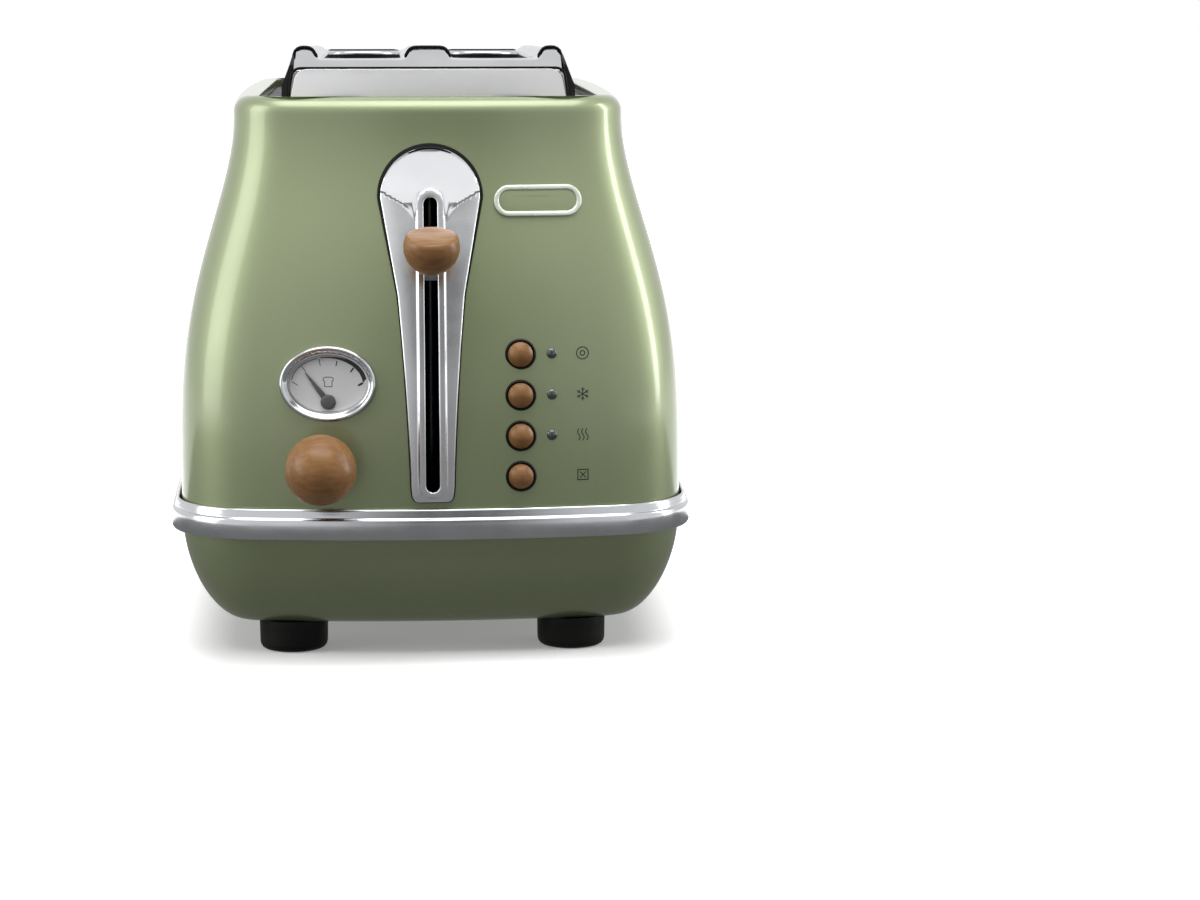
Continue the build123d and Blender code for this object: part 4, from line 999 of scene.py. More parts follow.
class Lever(Builder):
    """The chrome plate on the front and the wooden knob that slides along it."""

    sizes = LeverSizes()

    def build(self) -> None:
        """Build the plate, its seal and the knob."""
        self.plate()
        self.gasket()
        self.knob()

    def teardrop(self, count: int) -> list[Flat]:
        """Outline of the plate, evenly spaced, from its toe round by the right."""
        s = self.sizes
        (x1, z1), (x2, z2), (x3, z3) = s.taper, s.waist, s.toe
        toe_x, toe_z = s.bottom[0] - s.toe_round, s.bottom[1] + s.toe_round
        half: list[Flat] = [(0.0, s.bottom[1]), (toe_x, s.bottom[1])]
        for index in range(1, 7):
            turn = math.radians(-90 + 15 * index)
            half.append((toe_x + s.toe_round * math.cos(turn), toe_z + s.toe_round * math.sin(turn)))
        for index in range(25):
            z = z3 + (z1 - z3) * index / 24
            x = (
                x3 * (z - z2) * (z - z1) / ((z3 - z2) * (z3 - z1))
                + x2 * (z - z3) * (z - z1) / ((z2 - z3) * (z2 - z1))
                + x1 * (z - z3) * (z - z2) / ((z1 - z3) * (z1 - z2))
            )
            half.append((x, z))
        for index in range(61):
            turn = math.pi / 2 * index / 60
            half.append((s.head_radius * math.cos(turn), s.head_z + s.head_radius * math.sin(turn)))
        return spread_evenly(half + [(-x, z) for x, z in reversed(half[1:-1])], count)

    @staticmethod
    def squeeze(room: float) -> float:
        """Share of its width that the slot's rim keeps where the plate is narrow."""
        return min(1.0, (room - 1.2) / 3.2)

    def proud_at(self, gap: float, room: float, x: float, z: float) -> float:
        """How far the plate stands out at a place.

        Args:
            gap: distance from the slot's edge.
            room: distance from the slot's edge to the plate's edge.
            x: place across.
            z: place up.

        Returns:
            Its height above the shell's face.
        """
        s = self.sizes
        rim = s.rim_width * self.squeeze(room)
        left = max(room - gap, 0.0)
        level = s.proud - s.edge_fall * (1 - min(left / 5.0, 1.0)) ** 2
        edge = s.outer_edge
        if left < edge:
            level -= edge - math.sqrt(max(edge**2 - (edge - left) ** 2, 0))
        (x1, z1), (x2, z2) = s.crease_outer, s.crease_inner
        above = z - z2 - (z1 - z2) * (max(abs(x), 3.0) - x2) / (x1 - x2)
        outside = smooth_step(rim, rim + 2.0, gap)
        sharp = 0.25 + 5.0 * (1 - smooth_step(x2 - 3.5, x2 + 3.0, abs(x)))
        level += s.crease_step * smooth_step(-sharp, sharp, above) * outside
        level -= s.head_lean * max(above, 0.0) * outside * min(left / edge, 1.0)
        top = s.proud + s.rim_proud
        if gap < s.rim_edge:
            top -= s.rim_edge - math.sqrt(s.rim_edge**2 - (s.rim_edge - gap) ** 2)
        return max(level + (top - level) * (1 - smooth_step(rim, rim + 0.7, gap)), s.least_proud)

    def plate(self) -> None:
        """Chrome teardrop with a domed head, two creases and a raised rim round its slot."""
        s = self.sizes
        low, high = s.slot_low + s.slot_half, s.slot_high - s.slot_half
        near = (0.0, 0.05, 0.15, 0.3, 0.8, 1.4, 1.9, 2.15, 2.4, 2.65, 2.9, 3.2)
        far = (s.outer_edge, 0.3, 0.18, 0.08, 0.02, 0.0)
        steps = 44
        rings: list[Ring] = [[] for _ in range(len(near) + steps + len(far) + 2)]
        for x, z in self.teardrop(360):
            centre = Vector((0.0, min(max(z, low), high)))
            away = Vector((x, z)) - centre
            room = away.length - s.slot_half
            way = away.normalized()
            gaps = [gap * self.squeeze(room) for gap in near]
            start, run = gaps[-1], room - far[0] - gaps[-1]
            gaps += [start + run * (i + 1) / (steps + 1) for i in range(steps)] + [room - gap for gap in far]
            for ring, gap in zip(rings[1:], gaps):
                px, pz = centre + way * (s.slot_half + gap)
                ring.append(BODY.on_face(px, pz, self.proud_at(gap, room, px, pz)))
            rings[0].append(BODY.on_face(*(centre + way * s.slot_half), s.foot))
            rings[-1].append(BODY.on_face(x, z, s.foot))
        piece = ring_form("lever_escutcheon", rings, closed=True)
        self.hand_over(piece, Finish.SATIN, "lever_plate", angle=40)

    def gasket(self) -> None:
        """Black seal round the plate, wider round its head; its black band is partly painted shade along the
        plate's edge, and its extra width round the head is painted shade under the head's edge.
        """
        s = self.sizes
        edge = self.teardrop(240)
        profile = (
            (0, -0.8, 0.05), (0, -0.8, 0.6), (0, 0, 0.6), (1, -0.25, 0.6), (1, -0.07, 0.5), (1, 0, 0.3),
            (1, 0, 0.02),
        )
        rings: list[Ring] = [[] for _ in profile]
        for index, (x, z) in enumerate(edge):
            way = (Vector(edge[(index + 1) % len(edge)]) - Vector(edge[index - 1])).normalized()
            # Width grows towards the head: painted shade under the plate's top edge.
            width = s.gasket_low + (s.gasket_high - s.gasket_low) * smooth_step(120.0, 192.0, z)
            for ring, (share, inner, proud) in zip(rings, profile):
                reach = width * share + inner
                ring.append(BODY.on_face(x + way.y * reach, z - way.x * reach, proud))
        self.hand_over(ring_form("plate_seal", rings, closed=True), Finish.RUBBER, "lever_gasket", angle=40)

    def knob(self) -> None:
        """Wooden ball with a flat, leaning top and a softened edge."""
        s = self.sizes
        radius, flat = s.knob_radius, s.knob_flat
        edge = math.sqrt(radius**2 - flat**2)
        profile: list[Flat] = [(0.0, flat), (4.0, flat), (edge - 1.1, flat)]
        profile += [(edge - 0.65, flat - 0.06), (edge - 0.3, flat - 0.22)]
        first = math.degrees(math.asin((flat - 0.55) / radius))
        for index in range(17):
            turn = math.radians(first - (first + 90) * index / 16)
            profile.append((radius * math.cos(turn), radius * math.sin(turn)))
        lean = Euler((math.radians(s.knob_tilt), 0, 0)).to_matrix()
        low, _ = box_mm("lever_knob")
        middle = Vector((0.0, low.y + radius, low.z + radius))
        rings = turned(profile, lambda x, y, level: tuple(middle + lean @ Vector((x, y, level))), 72)
        self.hand_over(ring_form("lever_grip", rings), Finish.WOOD, "lever_knob", body="lever", angle=50)


def spread_evenly(loop: Sequence[Flat], count: int) -> list[Flat]:
    """A closed line's points, placed again at even distances."""
    points = [Vector(p) for p in loop]
    lengths = [(b - a).length for a, b in zip(points, points[1:] + points[:1])]
    total = sum(lengths)
    result: list[Flat] = []
    index, passed = 0, 0.0
    for step in range(count):
        wanted = total * step / count
        while passed + lengths[index] < wanted:
            passed += lengths[index]
            index += 1
        share = (wanted - passed) / lengths[index] if lengths[index] else 0.0
        a, b = points[index], points[(index + 1) % len(points)]
        result.append(tuple(a + (b - a) * share))
    return result


def line_loop(
    points: Sequence[Flat], width: float, level: float, place: Place, closed: bool = False
) -> list[Object]:
    """Printed line through points, as thin flat strokes.

    Args:
        points: the line's corners.
        width: half its width.
        level: how high it lies.
        place: turns plane measures into a place.
        closed: whether the line ends where it starts.

    Returns:
        The strokes.
    """
    strokes = []
    count = len(points)
    for index in range(count if closed else count - 1):
        a, b = Vector(points[index]), Vector(points[(index + 1) % count])
        way = (b - a).normalized()
        side = Vector((-way.y, way.x)) * width
        a, b = a - way * width * 0.6, b + way * width * 0.6
        edge = [tuple(a + side), tuple(a - side), tuple(b - side), tuple(b + side)]
        strokes.append(plate_form("stroke", edge, level, level + 0.04 + 0.002 * (index % 3), place))
    return strokes


@dataclass
class GaugeSizes:
    """Sizes of the gauge's small pieces."""

    needle_length: float = 13.6
    needle_half: float = 1.3
    needle_tip: float = 0.22
    needle_angle: float = 38.0
    face_level: float = -0.6
    arc_width: float = 13.6
    arc_tall: float = 9.6
    first_tick: float = -61.0
    tick_step: float = 24.4
    tick_halves: tuple[float, ...] = (0.16, 0.16, 0.18, 0.22, 0.30, 0.42)
    heavy_from: int = 3


class Gauge(Builder):
    """The oval browning gauge with its printed scale, and the ball knob under it."""

    sizes = GaugeSizes()
    hub = -DIAL.needle_drop

    def build(self) -> None:
        """Build the bezel, the face, the scale, the needle, the cover and the knob."""
        self.bezel()
        self.face()
        self.scale()
        self.needle()
        self.cover()
        self.knob()

    @staticmethod
    def oval(inset: float, level: float, count: int = 120) -> Ring:
        """Ring round the gauge, inside its outer edge by an inset."""
        half_tall = DIAL.tall / 2 - inset
        wide = (DIAL.width / 2 - inset) / half_tall
        return [DIAL.place(x, y, level) for x, y in circle(half_tall, count, wide)]

    def bezel(self) -> None:
        """Chrome ring: a rounded outer shoulder and a bevel down to the face."""
        profile = (
            (0.0, -0.7), (0.0, 0.5), (0.04, 1.2), (0.18, 1.8), (0.42, 2.25), (0.70, 2.52), (0.95, 2.6),
            (1.25, 2.55), (1.6, 2.3), (2.0, 1.9), (2.4, 1.45), (2.75, 1.15), (3.0, 1.05), (3.25, 1.08),
            (3.5, 1.0), (3.65, 0.7), (3.7, 0.2), (3.7, -0.3), (2.9, -0.3), (2.1, -0.3), (2.1, -1.9),
            (1.2, -1.9),
        )
        rings = [self.oval(inset, level) for inset, level in profile]
        self.hand_over(ring_form("gauge_rim", rings, closed=True), Finish.TRIM, "gauge_bezel", angle=40)

    def face(self) -> None:
        """Silver-white plate with a turned-up edge."""
        level = self.sizes.face_level
        profile = ((2.25, -0.6), (2.25, 0.5), (2.6, 0.5), (3.1, 0.08), (4.4, 0.0), (9.0, 0.0))
        rings = [self.oval(inset, level + rise) for inset, rise in profile]
        low, high = ([DIAL.place(0, 0, level - drop)] * len(rings[0]) for drop in (0.6, 0.0))
        self.hand_over(ring_form("gauge_plate", [low, *rings, high]), Finish.DIAL, "gauge_face", angle=40)

    def scale(self) -> None:
        """Printed scale: a band that widens to the right, and a tick at each setting."""
        s = self.sizes
        ticks = [math.radians(s.first_tick + s.tick_step * number) for number in range(len(s.tick_halves))]
        outer: list[Flat] = []
        inner: list[Flat] = []
        steps, joint = 40, 16
        for index in range(steps + 1):
            share = index / steps
            turn = ticks[0] + (ticks[-1] - ticks[0]) * share
            half = 0.16 + 0.80 * smooth_step(0.35, 1.0, share)
            reach = self.scale_reach(turn)
            for line, away in ((outer, reach + half), (inner, reach - half)):
                line.append((math.sin(turn) * away, self.hub + math.cos(turn) * away))
        level = s.face_level + 0.01
        dark = [plate_form("band", inner[joint:] + outer[:joint - 1:-1], level, level + 0.04, DIAL.place)]
        pale = [plate_form("line", inner[:joint + 1] + outer[joint::-1], level, level + 0.04, DIAL.place)]
        for number, turn in enumerate(ticks):
            heavy = number >= s.heavy_from
            way = Vector((math.sin(turn), math.cos(turn)))
            side = Vector((way.y, -way.x)) * s.tick_halves[number]
            start = Vector((0, self.hub)) + way * (self.scale_reach(turn) - (1.0 if heavy else 0.3))
            end = start - way * (2.0 if heavy else 2.6)
            narrow = side * 0.8
            tick = [tuple(place) for place in (start + side, start - side, end - narrow, end + narrow)]
            (dark if heavy else pale).append(plate_form("tick", tick, level, level + 0.045, DIAL.place))
        half_slice = [(1.5, -1.7), (1.5, 0.5), (2.0, 0.9), (2.05, 1.5), (1.5, 2.0), (0.6, 2.15)]
        slice_edge = half_slice + [(-x, y) for x, y in reversed(half_slice)]
        pale += line_loop([(x * 0.92, y * 0.92 + 0.4) for x, y in slice_edge], 0.16, level, DIAL.place, True)
        self.hand_over(join("gauge_print", *dark), Finish.INK)
        self.hand_over(join("gauge_print_grey", *pale), Finish.PALE_INK)

    def scale_reach(self, turn: float) -> float:
        """Distance from the needle's axis to the scale's band in a direction."""
        s = self.sizes
        dx, dy = math.sin(turn), math.cos(turn)
        a = (dx / s.arc_width) ** 2 + (dy / s.arc_tall) ** 2
        b = 2 * self.hub * dy / s.arc_tall**2
        c = (self.hub / s.arc_tall) ** 2 - 1
        return (-b + math.sqrt(b * b - 4 * a * c)) / (2 * a)

    def needle(self) -> None:
        """Tapered pointer with a domed hub."""
        s = self.sizes
        turn = math.radians(s.needle_angle)
        cos, sin = math.cos(turn), math.sin(turn)
        level = s.face_level + 0.3

        def place(x: float, y: float, height: float) -> Point:
            """Place in the needle's own measures, from its axis."""
            return DIAL.place(x * cos - y * sin, self.hub + x * sin + y * cos, height)

        edge = [(s.needle_half, 0.0), (s.needle_tip, s.needle_length)]
        edge += [(-x, y) for x, y in reversed(edge)]
        blade = soften(plate_form("blade", edge, level, level + 0.4, place), 0.1)
        dome = [(0.0, 1.0), (1.2, 0.98), (2.1, 0.85), (2.6, 0.6), (2.8, 0.3), (2.8, 0.0), (0.8, 0.0)]
        dome = [(radius, level + rise) for radius, rise in dome] + [(0.8, -12.0), (0.0, -12.0)]
        cap = ring_form("hub", turned(dome, lambda x, y, w: DIAL.place(x, self.hub + y, w), 48))
        piece = join("gauge_pointer", blade, cap)
        self.hand_over(piece, Finish.NEEDLE, "gauge_needle", body="needle", angle=40)

    def cover(self) -> None:
        """Clear, slightly crowned cover in front of the needle."""
        count = 96
        profile = ((8.0, 1.66), (4.5, 1.56), (2.15, 1.4), (2.15, 1.9), (4.5, 2.06), (8.0, 2.16))
        rings = [self.oval(inset, level, count) for inset, level in profile]
        low, high = ([DIAL.place(0, 0, level)] * count for level in (1.7, 2.2))
        self.hand_over(ring_form("gauge_window", [low, *rings, high]), Finish.CLEAR, "gauge_lens", angle=40)

    def knob(self) -> None:
        """Wooden ball with a flat back, and the collar behind it."""
        radius = DIAL.ball_radius
        low = DIAL.knob_face + DIAL.stand_off
        flat = 0.6
        first = math.asin((radius - flat) / radius)
        profile: list[Flat] = [(0.0, low + flat), (2.6, low + flat)]
        for index in range(24):
            turn = -first + (first + math.pi / 2) * index / 24
            profile.append((radius * math.cos(turn), low + radius + radius * math.sin(turn)))
        profile.append((0.0, low + 2 * radius))
        piece = ring_form("browning_ball", turned(profile, DIAL.knob_place, 80))
        self.hand_over(piece, Finish.WOOD, "browning_knob", body="knob", angle=50)
        collar = ((3.3, -1.0), (3.3, 1.6), (5.0, 1.6), (5.35, 1.45), (5.5, 1.1), (5.5, -0.6))
        rings = turned([(r, DIAL.knob_face + rise) for r, rise in collar], DIAL.knob_place, 48)
        self.hand_over(ring_form("knob_ring", rings, closed=True), Finish.BLACK, "knob_collar", angle=40)


class Controls(Builder):
    """Four wooden buttons in dark rings, three lights, printed symbols and the bare badge."""

    def build(self) -> None:
        """Build every control."""
        for name, height in zip(FRONT.names, FRONT.heights):
            self.button(name, height)
        self.rings()
        self.lights()
        self.symbols()
        self.badge()

    @staticmethod
    def _spot(x: float, height: float) -> Place:
        """Measures round a place on the front, out of the face along -Y."""
        face = BODY.face_y(x, height)
        return lambda u, v, w: (x + u, face - w, height + v)

    def button(self, name: str, height: float) -> None:
        """Domed wooden button with its stem."""
        radius, rise, top = 4.6, 2.6, 3.8
        ball = (radius**2 + rise**2) / (2 * rise)
        profile: list[Flat] = [(0.0, top)]
        for index in range(1, 11):
            out = radius * math.sin(math.pi / 2 * index / 10)
            profile.append((out, top - ball + math.sqrt(ball**2 - out**2)))
        stem = BODY.face_y(FRONT.button_x, height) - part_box(name + "_button")[1].y / MM
        profile += [(radius, 0.2), (radius, -4.5), (2.0, -4.5), (2.0, stem), (0.0, stem)]
        piece = ring_form(name + "_dome", turned(profile, self._spot(FRONT.button_x, height), 48))
        self.hand_over(piece, Finish.WOOD, name + "_button", body=name, angle=50)

    def rings(self) -> None:
        """Dark ring round each button, filling the gap between the button and its hole; its black is partly
        painted shade of that gap.
        """
        profile = (
            (5.3, -3.2), (5.3, -0.1), (5.72, -0.1), (5.75, 0.25), (5.6, 0.6), (5.3, 0.78), (5.05, 0.72),
            (4.92, 0.4), (4.9, -3.2),
        )
        # Black rings: partly painted shade of the gap round each button.
        parts = [
            ring_form("ring", turned(profile, self._spot(FRONT.button_x, height), 56), closed=True)
            for height in FRONT.heights
        ]
        self.hand_over(join("button_surrounds", *parts), Finish.BLACK, "button_rings", angle=40)

    def lights(self) -> None:
        """Small dark glass domes on their light pipes."""
        parts = []
        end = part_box("indicator_lenses")[1].y / MM
        dome = [(0.0, 0.8), (0.7, 0.76), (1.3, 0.58), (1.75, 0.3), (1.98, 0.0), (1.98, -0.05), (1.7, -0.06)]
        for height in FRONT.heights[:FRONT.lights]:
            stem = BODY.face_y(FRONT.light_x, height) - end
            rings = turned(dome + [(1.7, stem), (0.0, stem)], self._spot(FRONT.light_x, height), 40)
            parts.append(ring_form("lens", rings))
        self.hand_over(join("indicator_domes", *parts), Finish.LAMP, "indicator_lenses", angle=40)

    def symbols(self) -> None:
        """A plain printed symbol beside each button: ring, ice crystal, heat and stop."""
        level, high = 0.01, 0.05
        places = [
            lambda u, v, w, z=height: BODY.on_face(FRONT.symbol_x + u, z + v, w) for height in FRONT.heights
        ]
        marks: list[Object] = []
        for radius in (2.2, 0.85):
            out, inner = radius + 0.2, radius - 0.2
            rings = turned(((out, level), (out, high), (inner, high), (inner, level)), places[0], 40)
            marks.append(ring_form("ring_mark", rings, closed=True))
        for index in range(3):
            turn = math.radians(60 * index + 90)
            way = Vector((math.cos(turn), math.sin(turn)))
            marks += line_loop([tuple(way * -2.4), tuple(way * 2.4)], 0.17, level + 0.004 * index, places[1])
            for end in (1, -1):
                root = way * 1.15 * end
                for side in (35, -35):
                    arm = way.copy() * end
                    arm.rotate(Matrix.Rotation(math.radians(side), 2))
                    branch = [tuple(root), tuple(root + arm * 0.95)]
                    marks += line_loop(branch, 0.13, level + 0.016, places[1])
        for offset in (-1.5, 0.0, 1.5):
            wave = [(offset + 0.45 * math.sin(TAU * i / 12), -2.1 + 4.2 * i / 12) for i in range(13)]
            marks += line_loop(wave, 0.18, level, places[2])
        square = [(-1.9, -1.9), (1.9, -1.9), (1.9, 1.9), (-1.9, 1.9)]
        marks += line_loop(square, 0.2, level, places[3], True)
        marks += line_loop([(-1.0, -1.0), (1.0, 1.0)], 0.18, level + 0.01, places[3])
        marks += line_loop([(-1.0, 1.0), (1.0, -1.0)], 0.18, level + 0.014, places[3])
        self.hand_over(join("front_print", *marks), Finish.INK)

    def badge(self) -> None:
        """Bare plate with a raised border and a slightly pillowed field."""
        middle_x, middle_z = 39.7, 170.6
        half_width, half_tall = 16.3, 5.7
        border = (
            (0.0, 0.05), (0.0, 0.75), (0.08, 1.05), (0.28, 1.24), (0.60, 1.3), (1.15, 1.3), (1.50, 1.24),
            (1.75, 1.05), (1.85, 0.8), (1.9, 0.4), (1.9, 0.05),
        )
        field = ((1.8, 0.02), (1.8, 0.62), (2.4, 0.66), (4.0, 0.72))

        def rings(profile: Sequence[Flat]) -> list[Ring]:
            """Rings round the badge, from each one's inset and its height on the face."""
            return [
                [
                    BODY.on_face(middle_x + x, middle_z + z, proud)
                    for x, z in stadium(half_width - inset, half_tall - inset, 96)
                ]
                for inset, proud in profile
            ]

        piece = ring_form("bare_badge", rings(border), closed=True)
        self.hand_over(piece, Finish.PEARL, "badge_plate", angle=40)
        self.hand_over(ring_form("badge_field", rings(field), capped=True), Finish.PAINT, angle=40)


COVER_LOW, COVER_HIGH = box_mm("top_cover")
SLOTS_MIDDLE: float = sum(corner.y for corner in box_mm("heater_boards")) / 2


@dataclass
class CoverSizes:
    """Sizes of the chrome cover with the bread slots."""

    start: float = COVER_LOW.y
    end: float = COVER_HIGH.y
    middle: float = SLOTS_MIDDLE
    foot_z: float = 205.0
    plateau: float = 221.7
    fall: float = 1.2
    rail_top: float = 225.7
    rail_far: float = 222.4
    ramp_low: float = 218.0
    ramp_run: float = 17.0
    open: float = 240.0
    slot_x: float = 25.0
    slot_half: float = 15.0
    slot_half_length: float = 75.0
    slot_corner: float = 12.0
    clearance: float = 0.4
    lip: float = 15.0
    sheet: float = 1.0
    edging: float = 1.6
    rail_foot: float = 9.0
    shoulder_foot: float = 40.9
    beyond: float = 60.0

    def along(self, y: float) -> float:
        """Place along the cover, from 0 at its front to 1 at its back."""
        return (y - self.start) / (self.end - self.start)


class Top(Builder):
    """The chrome cover with its two slots, the end plates and the black edging, which is partly painted shade."""

    sizes = CoverSizes()
    crest_inner = (
        (0.0, 1.0), (2.5, 1.0), (4.6, 0.99), (5.6, 0.94), (6.3, 0.84), (6.9, 0.66), (7.4, 0.42), (7.9, 0.20),
        (8.5, 0.09), (9.2, 0.024), (10.2, 0.0),
    )
    crest_outer = (
        (40.6, 0.02), (41.4, 0.09), (42.1, 0.24), (42.7, 0.48), (43.2, 0.70), (43.7, 0.85), (44.4, 0.95),
        (45.2, 0.99), (46.4, 1.0), (47.4, 0.98), (48.3, 0.88), (49.0, 0.72),
    )

    def build(self) -> None:
        """Build the cover and its ends."""
        self.cover()
        self.edging()
        for node in ("front_fascia", "rear_fascia"):
            # End plates in pale chrome, whose near-white base is a painted reflection.
            piece = soften(merged_copy(node, node + "_plate"), 0.35, 3)
            self.hand_over(piece, Finish.PALE, node, angle=40)

    def sheet_line(self, y: float, cap: float, inset: float = 0.0) -> list[Flat]:
        """Outline of the sheet across the cover.

        Args:
            y: where it is along the cover.
            cap: the height that it may reach there.
            inset: how far it is moved to the sheet's inner side.

        Returns:
            Its points from left to right, each with its height.
        """
        s = self.sizes
        along = s.along(y)
        flat = s.plateau - s.fall * along
        rise = s.rail_top - s.plateau + (s.rail_far - s.rail_top + s.fall) * along
        level = [(12.5 + 4.5 * index, 0.0) for index in range(7)]
        half = [(x, flat + rise * share) for x, share in (*self.crest_inner, *level, *self.crest_outer)]
        half += [(49.45, flat + rise - 2.4), (49.7, flat + rise - 3.6)]
        half = moved_in(half + [(50.1, 216.5), (50.6, 213.0), (51.0, 209.5), (51.5, s.foot_z)], inset)
        half[-1] = (half[-1][0], s.foot_z)
        held = [(x, soft_least(z, cap - inset, 0.5) if z > s.foot_z + 2 else z) for x, z in half]
        return [(-x, z) for x, z in reversed(held[1:])] + held

    def stations(self) -> list[Flat]:
        """Places along the cover, each with the height that it may reach there."""
        s = self.sizes
        rise = s.rail_top - s.ramp_low
        front: list[Flat] = [(0.0, s.ramp_low - 1.0), (0.15, s.ramp_low - 0.4), (0.6, s.ramp_low)]
        shares = [index / 16 for index in range(1, 17)]
        front += [(0.6 + s.ramp_run * 1.15 * share, s.ramp_low + (rise + 1.4) * share) for share in shares]
        front += [(21.5, s.open)] + [(24.0 + 17.2 * index, s.open) for index in range(6)]
        back = reversed(front[:-1])
        return [(s.start + y, cap) for y, cap in front] + [(s.end - y, cap) for y, cap in back]

    def cover(self) -> None:
        """Cover pressed from sheet, with its slots' lips and the black linings below them, which are painted shade
        inside the slots.
        """
        s = self.sizes
        rings = []
        for y, cap in self.stations():
            line = self.sheet_line(y, cap) + self.sheet_line(y, cap, s.sheet)[::-1]
            rings.append([(x, y, z) for x, z in line])
        piece = ring_form("bread_cover", rings, capped=True)
        lip = (
            (0.8, -1.1), (1.3, -0.4), (1.9, 0.02), (1.3, 0.16), (0.7, 0.1), (0.25, -0.1), (0.0, -0.6),
            (0.0, -1.1),
        )
        # Black band hanging inside each slot below its lip: painted shade that darkens the slot's opening.
        shade_lining = ((0.8, -s.lip), (0.8, -1.05), (0.05, -1.05), (0.05, -s.lip))
        tools: list[Object] = []
        lips: list[Object] = []
        shade_linings: list[Object] = []
        for centre in (s.slot_x, -s.slot_x):
            edge = self.slot_edge(s.clearance)
            tools.append(
                plate_form("tool", edge, s.foot_z - 5, s.open, lambda u, v, w: (centre + u, s.middle + v, w))
            )
            for profile, pieces in ((lip, lips), (shade_lining, shade_linings)):
                rings = [
                    [
                        (centre + x, s.middle + y, s.plateau - s.fall * s.along(s.middle + y) + rise)
                        for x, y in self.slot_edge(grow)
                    ]
                    for grow, rise in profile
                ]
                pieces.append(ring_form("lip", rings, closed=True))
        cut(piece, *tools)
        self.hand_over(join("bread_cover", piece, *lips), Finish.COVER, "top_cover", angle=40)
        # The slots' black linings: painted shade inside the slots.
        self.hand_over(join("slot_shade_linings", *shade_linings), Finish.BLACK, angle=40)

    def edging(self) -> None:
        """Black edging on the crests' near edge, the far edge of the flats and round the end plates; the strips
        round the end plates and on the flats' far edge are painted shade of the gap and of the dark rear lip.
        """
        s = self.sizes
        strips = []
        crests = ((s.shoulder_foot, s.beyond), (-s.rail_foot, s.rail_foot), (-s.beyond, -s.shoulder_foot))
        flats = ((s.rail_foot + 0.3, s.shoulder_foot + 0.1), (-s.shoulder_foot - 0.1, -s.rail_foot - 0.3))
        end = s.ramp_run + 2.0
        # Strips on the crests' near edge and on the flats' far edge; those on the flats' far edge are painted
        # shade of the dark rear lip.
        for y, proud, stretches in ((s.start + end, 1.2, crests), (s.end - end, 0.6, flats)):
            line = self.sheet_line(y, s.open)
            for low, high in stretches:
                part = [point for point in line if low <= point[0] <= high]
                strips.append(self.strip(part, y, s.edging, proud))
        # Black strip round each end plate: painted shade of the gap between the plate and the cover.
        for node in ("front_fascia", "rear_fascia"):
            low, high = box_mm(node)
            strips.append(
                self.strip(self.fascia_line(low, high), (low.y + high.y) / 2, high.y - low.y + 0.3, 0.75)
            )
        self.hand_over(join("cover_edging_and_shade", *strips), Finish.RUBBER)

    @staticmethod
    def fascia_line(low: Vector, high: Vector) -> list[Flat]:
        """Line over the sides and the top of an end plate, from its left foot to its right one."""
        corner = 3.2
        half: list[Flat] = [(0.0, high.z)]
        for index in range(7):
            turn = math.pi / 2 * (1 - index / 6)
            x = high.x - 1.2 - corner + corner * math.cos(turn)
            half.append((x, high.z - corner + corner * math.sin(turn)))
        half += [(high.x - 0.6, (low.z + high.z) / 2), (high.x, low.z)]
        return [(-x, z) for x, z in reversed(half[1:])] + half

    @staticmethod
    def strip(line: Sequence[Flat], y: float, width: float, proud: float) -> Object:
        """Thin strip over a line of the cover's cross-section.

        Args:
            line: the line's points.
            y: where the strip is along the cover.
            width: its width along the cover.
            proud: how far it stands out.

        Returns:
            The new object.
        """
        section = ((-0.5, -0.4), (-0.5, 0.7), (-0.35, 1.0), (0.35, 1.0), (0.5, 0.7), (0.5, -0.4))
        rings = []
        last = len(line) - 1
        for index, point in enumerate(line):
            way = (Vector(line[min(index + 1, last)]) - Vector(line[max(index - 1, 0)])).normalized()
            out = Vector((-way.y, way.x))
            height = proud if 0 < index < last else proud * 0.4
            ring = []
            for across, rise in section:
                place = Vector(point) + out * (rise * height)
                ring.append((place.x, y + across * width, place.y))
            rings.append(ring)
        return ring_form("strip", rings, capped=True)

    def slot_edge(self, grow: float) -> list[Flat]:
        """Outline of a bread slot, grown by a distance."""
        s = self.sizes
        corner = s.slot_corner + grow
        side_x, side_y = s.slot_half + grow - corner, s.slot_half_length + grow - corner
        points: list[Flat] = []
        for quarter, (sx, sy) in enumerate(((1, 1), (-1, 1), (-1, -1), (1, -1))):
            for index in range(13):
                turn = math.pi / 2 * (quarter + index / 12)
                points.append((sx * side_x + corner * math.cos(turn), sy * side_y + corner * math.sin(turn)))
        return points


def moved_in(line: Sequence[Flat], distance: float) -> list[Flat]:
    """A line that runs outwards from the middle, moved to its inner side by a distance."""
    moved: list[Flat] = []
    for index, point in enumerate(line):
        before, after = Vector(line[max(index - 1, 0)]), Vector(line[min(index + 1, len(line) - 1)])
        way = (after - before).normalized()
        moved.append((point[0] + way.y * distance, point[1] - way.x * distance))
    moved[0] = (0.0, moved[0][1])
    return moved


def soft_least(first: float, second: float, blend: float) -> float:
    """The lower of two heights, rounded where they meet."""
    gap = abs(first - second)
    if gap >= blend * 2:
        return min(first, second)
    return min(first, second) - (blend * 2 - gap) ** 2 / (8 * blend)


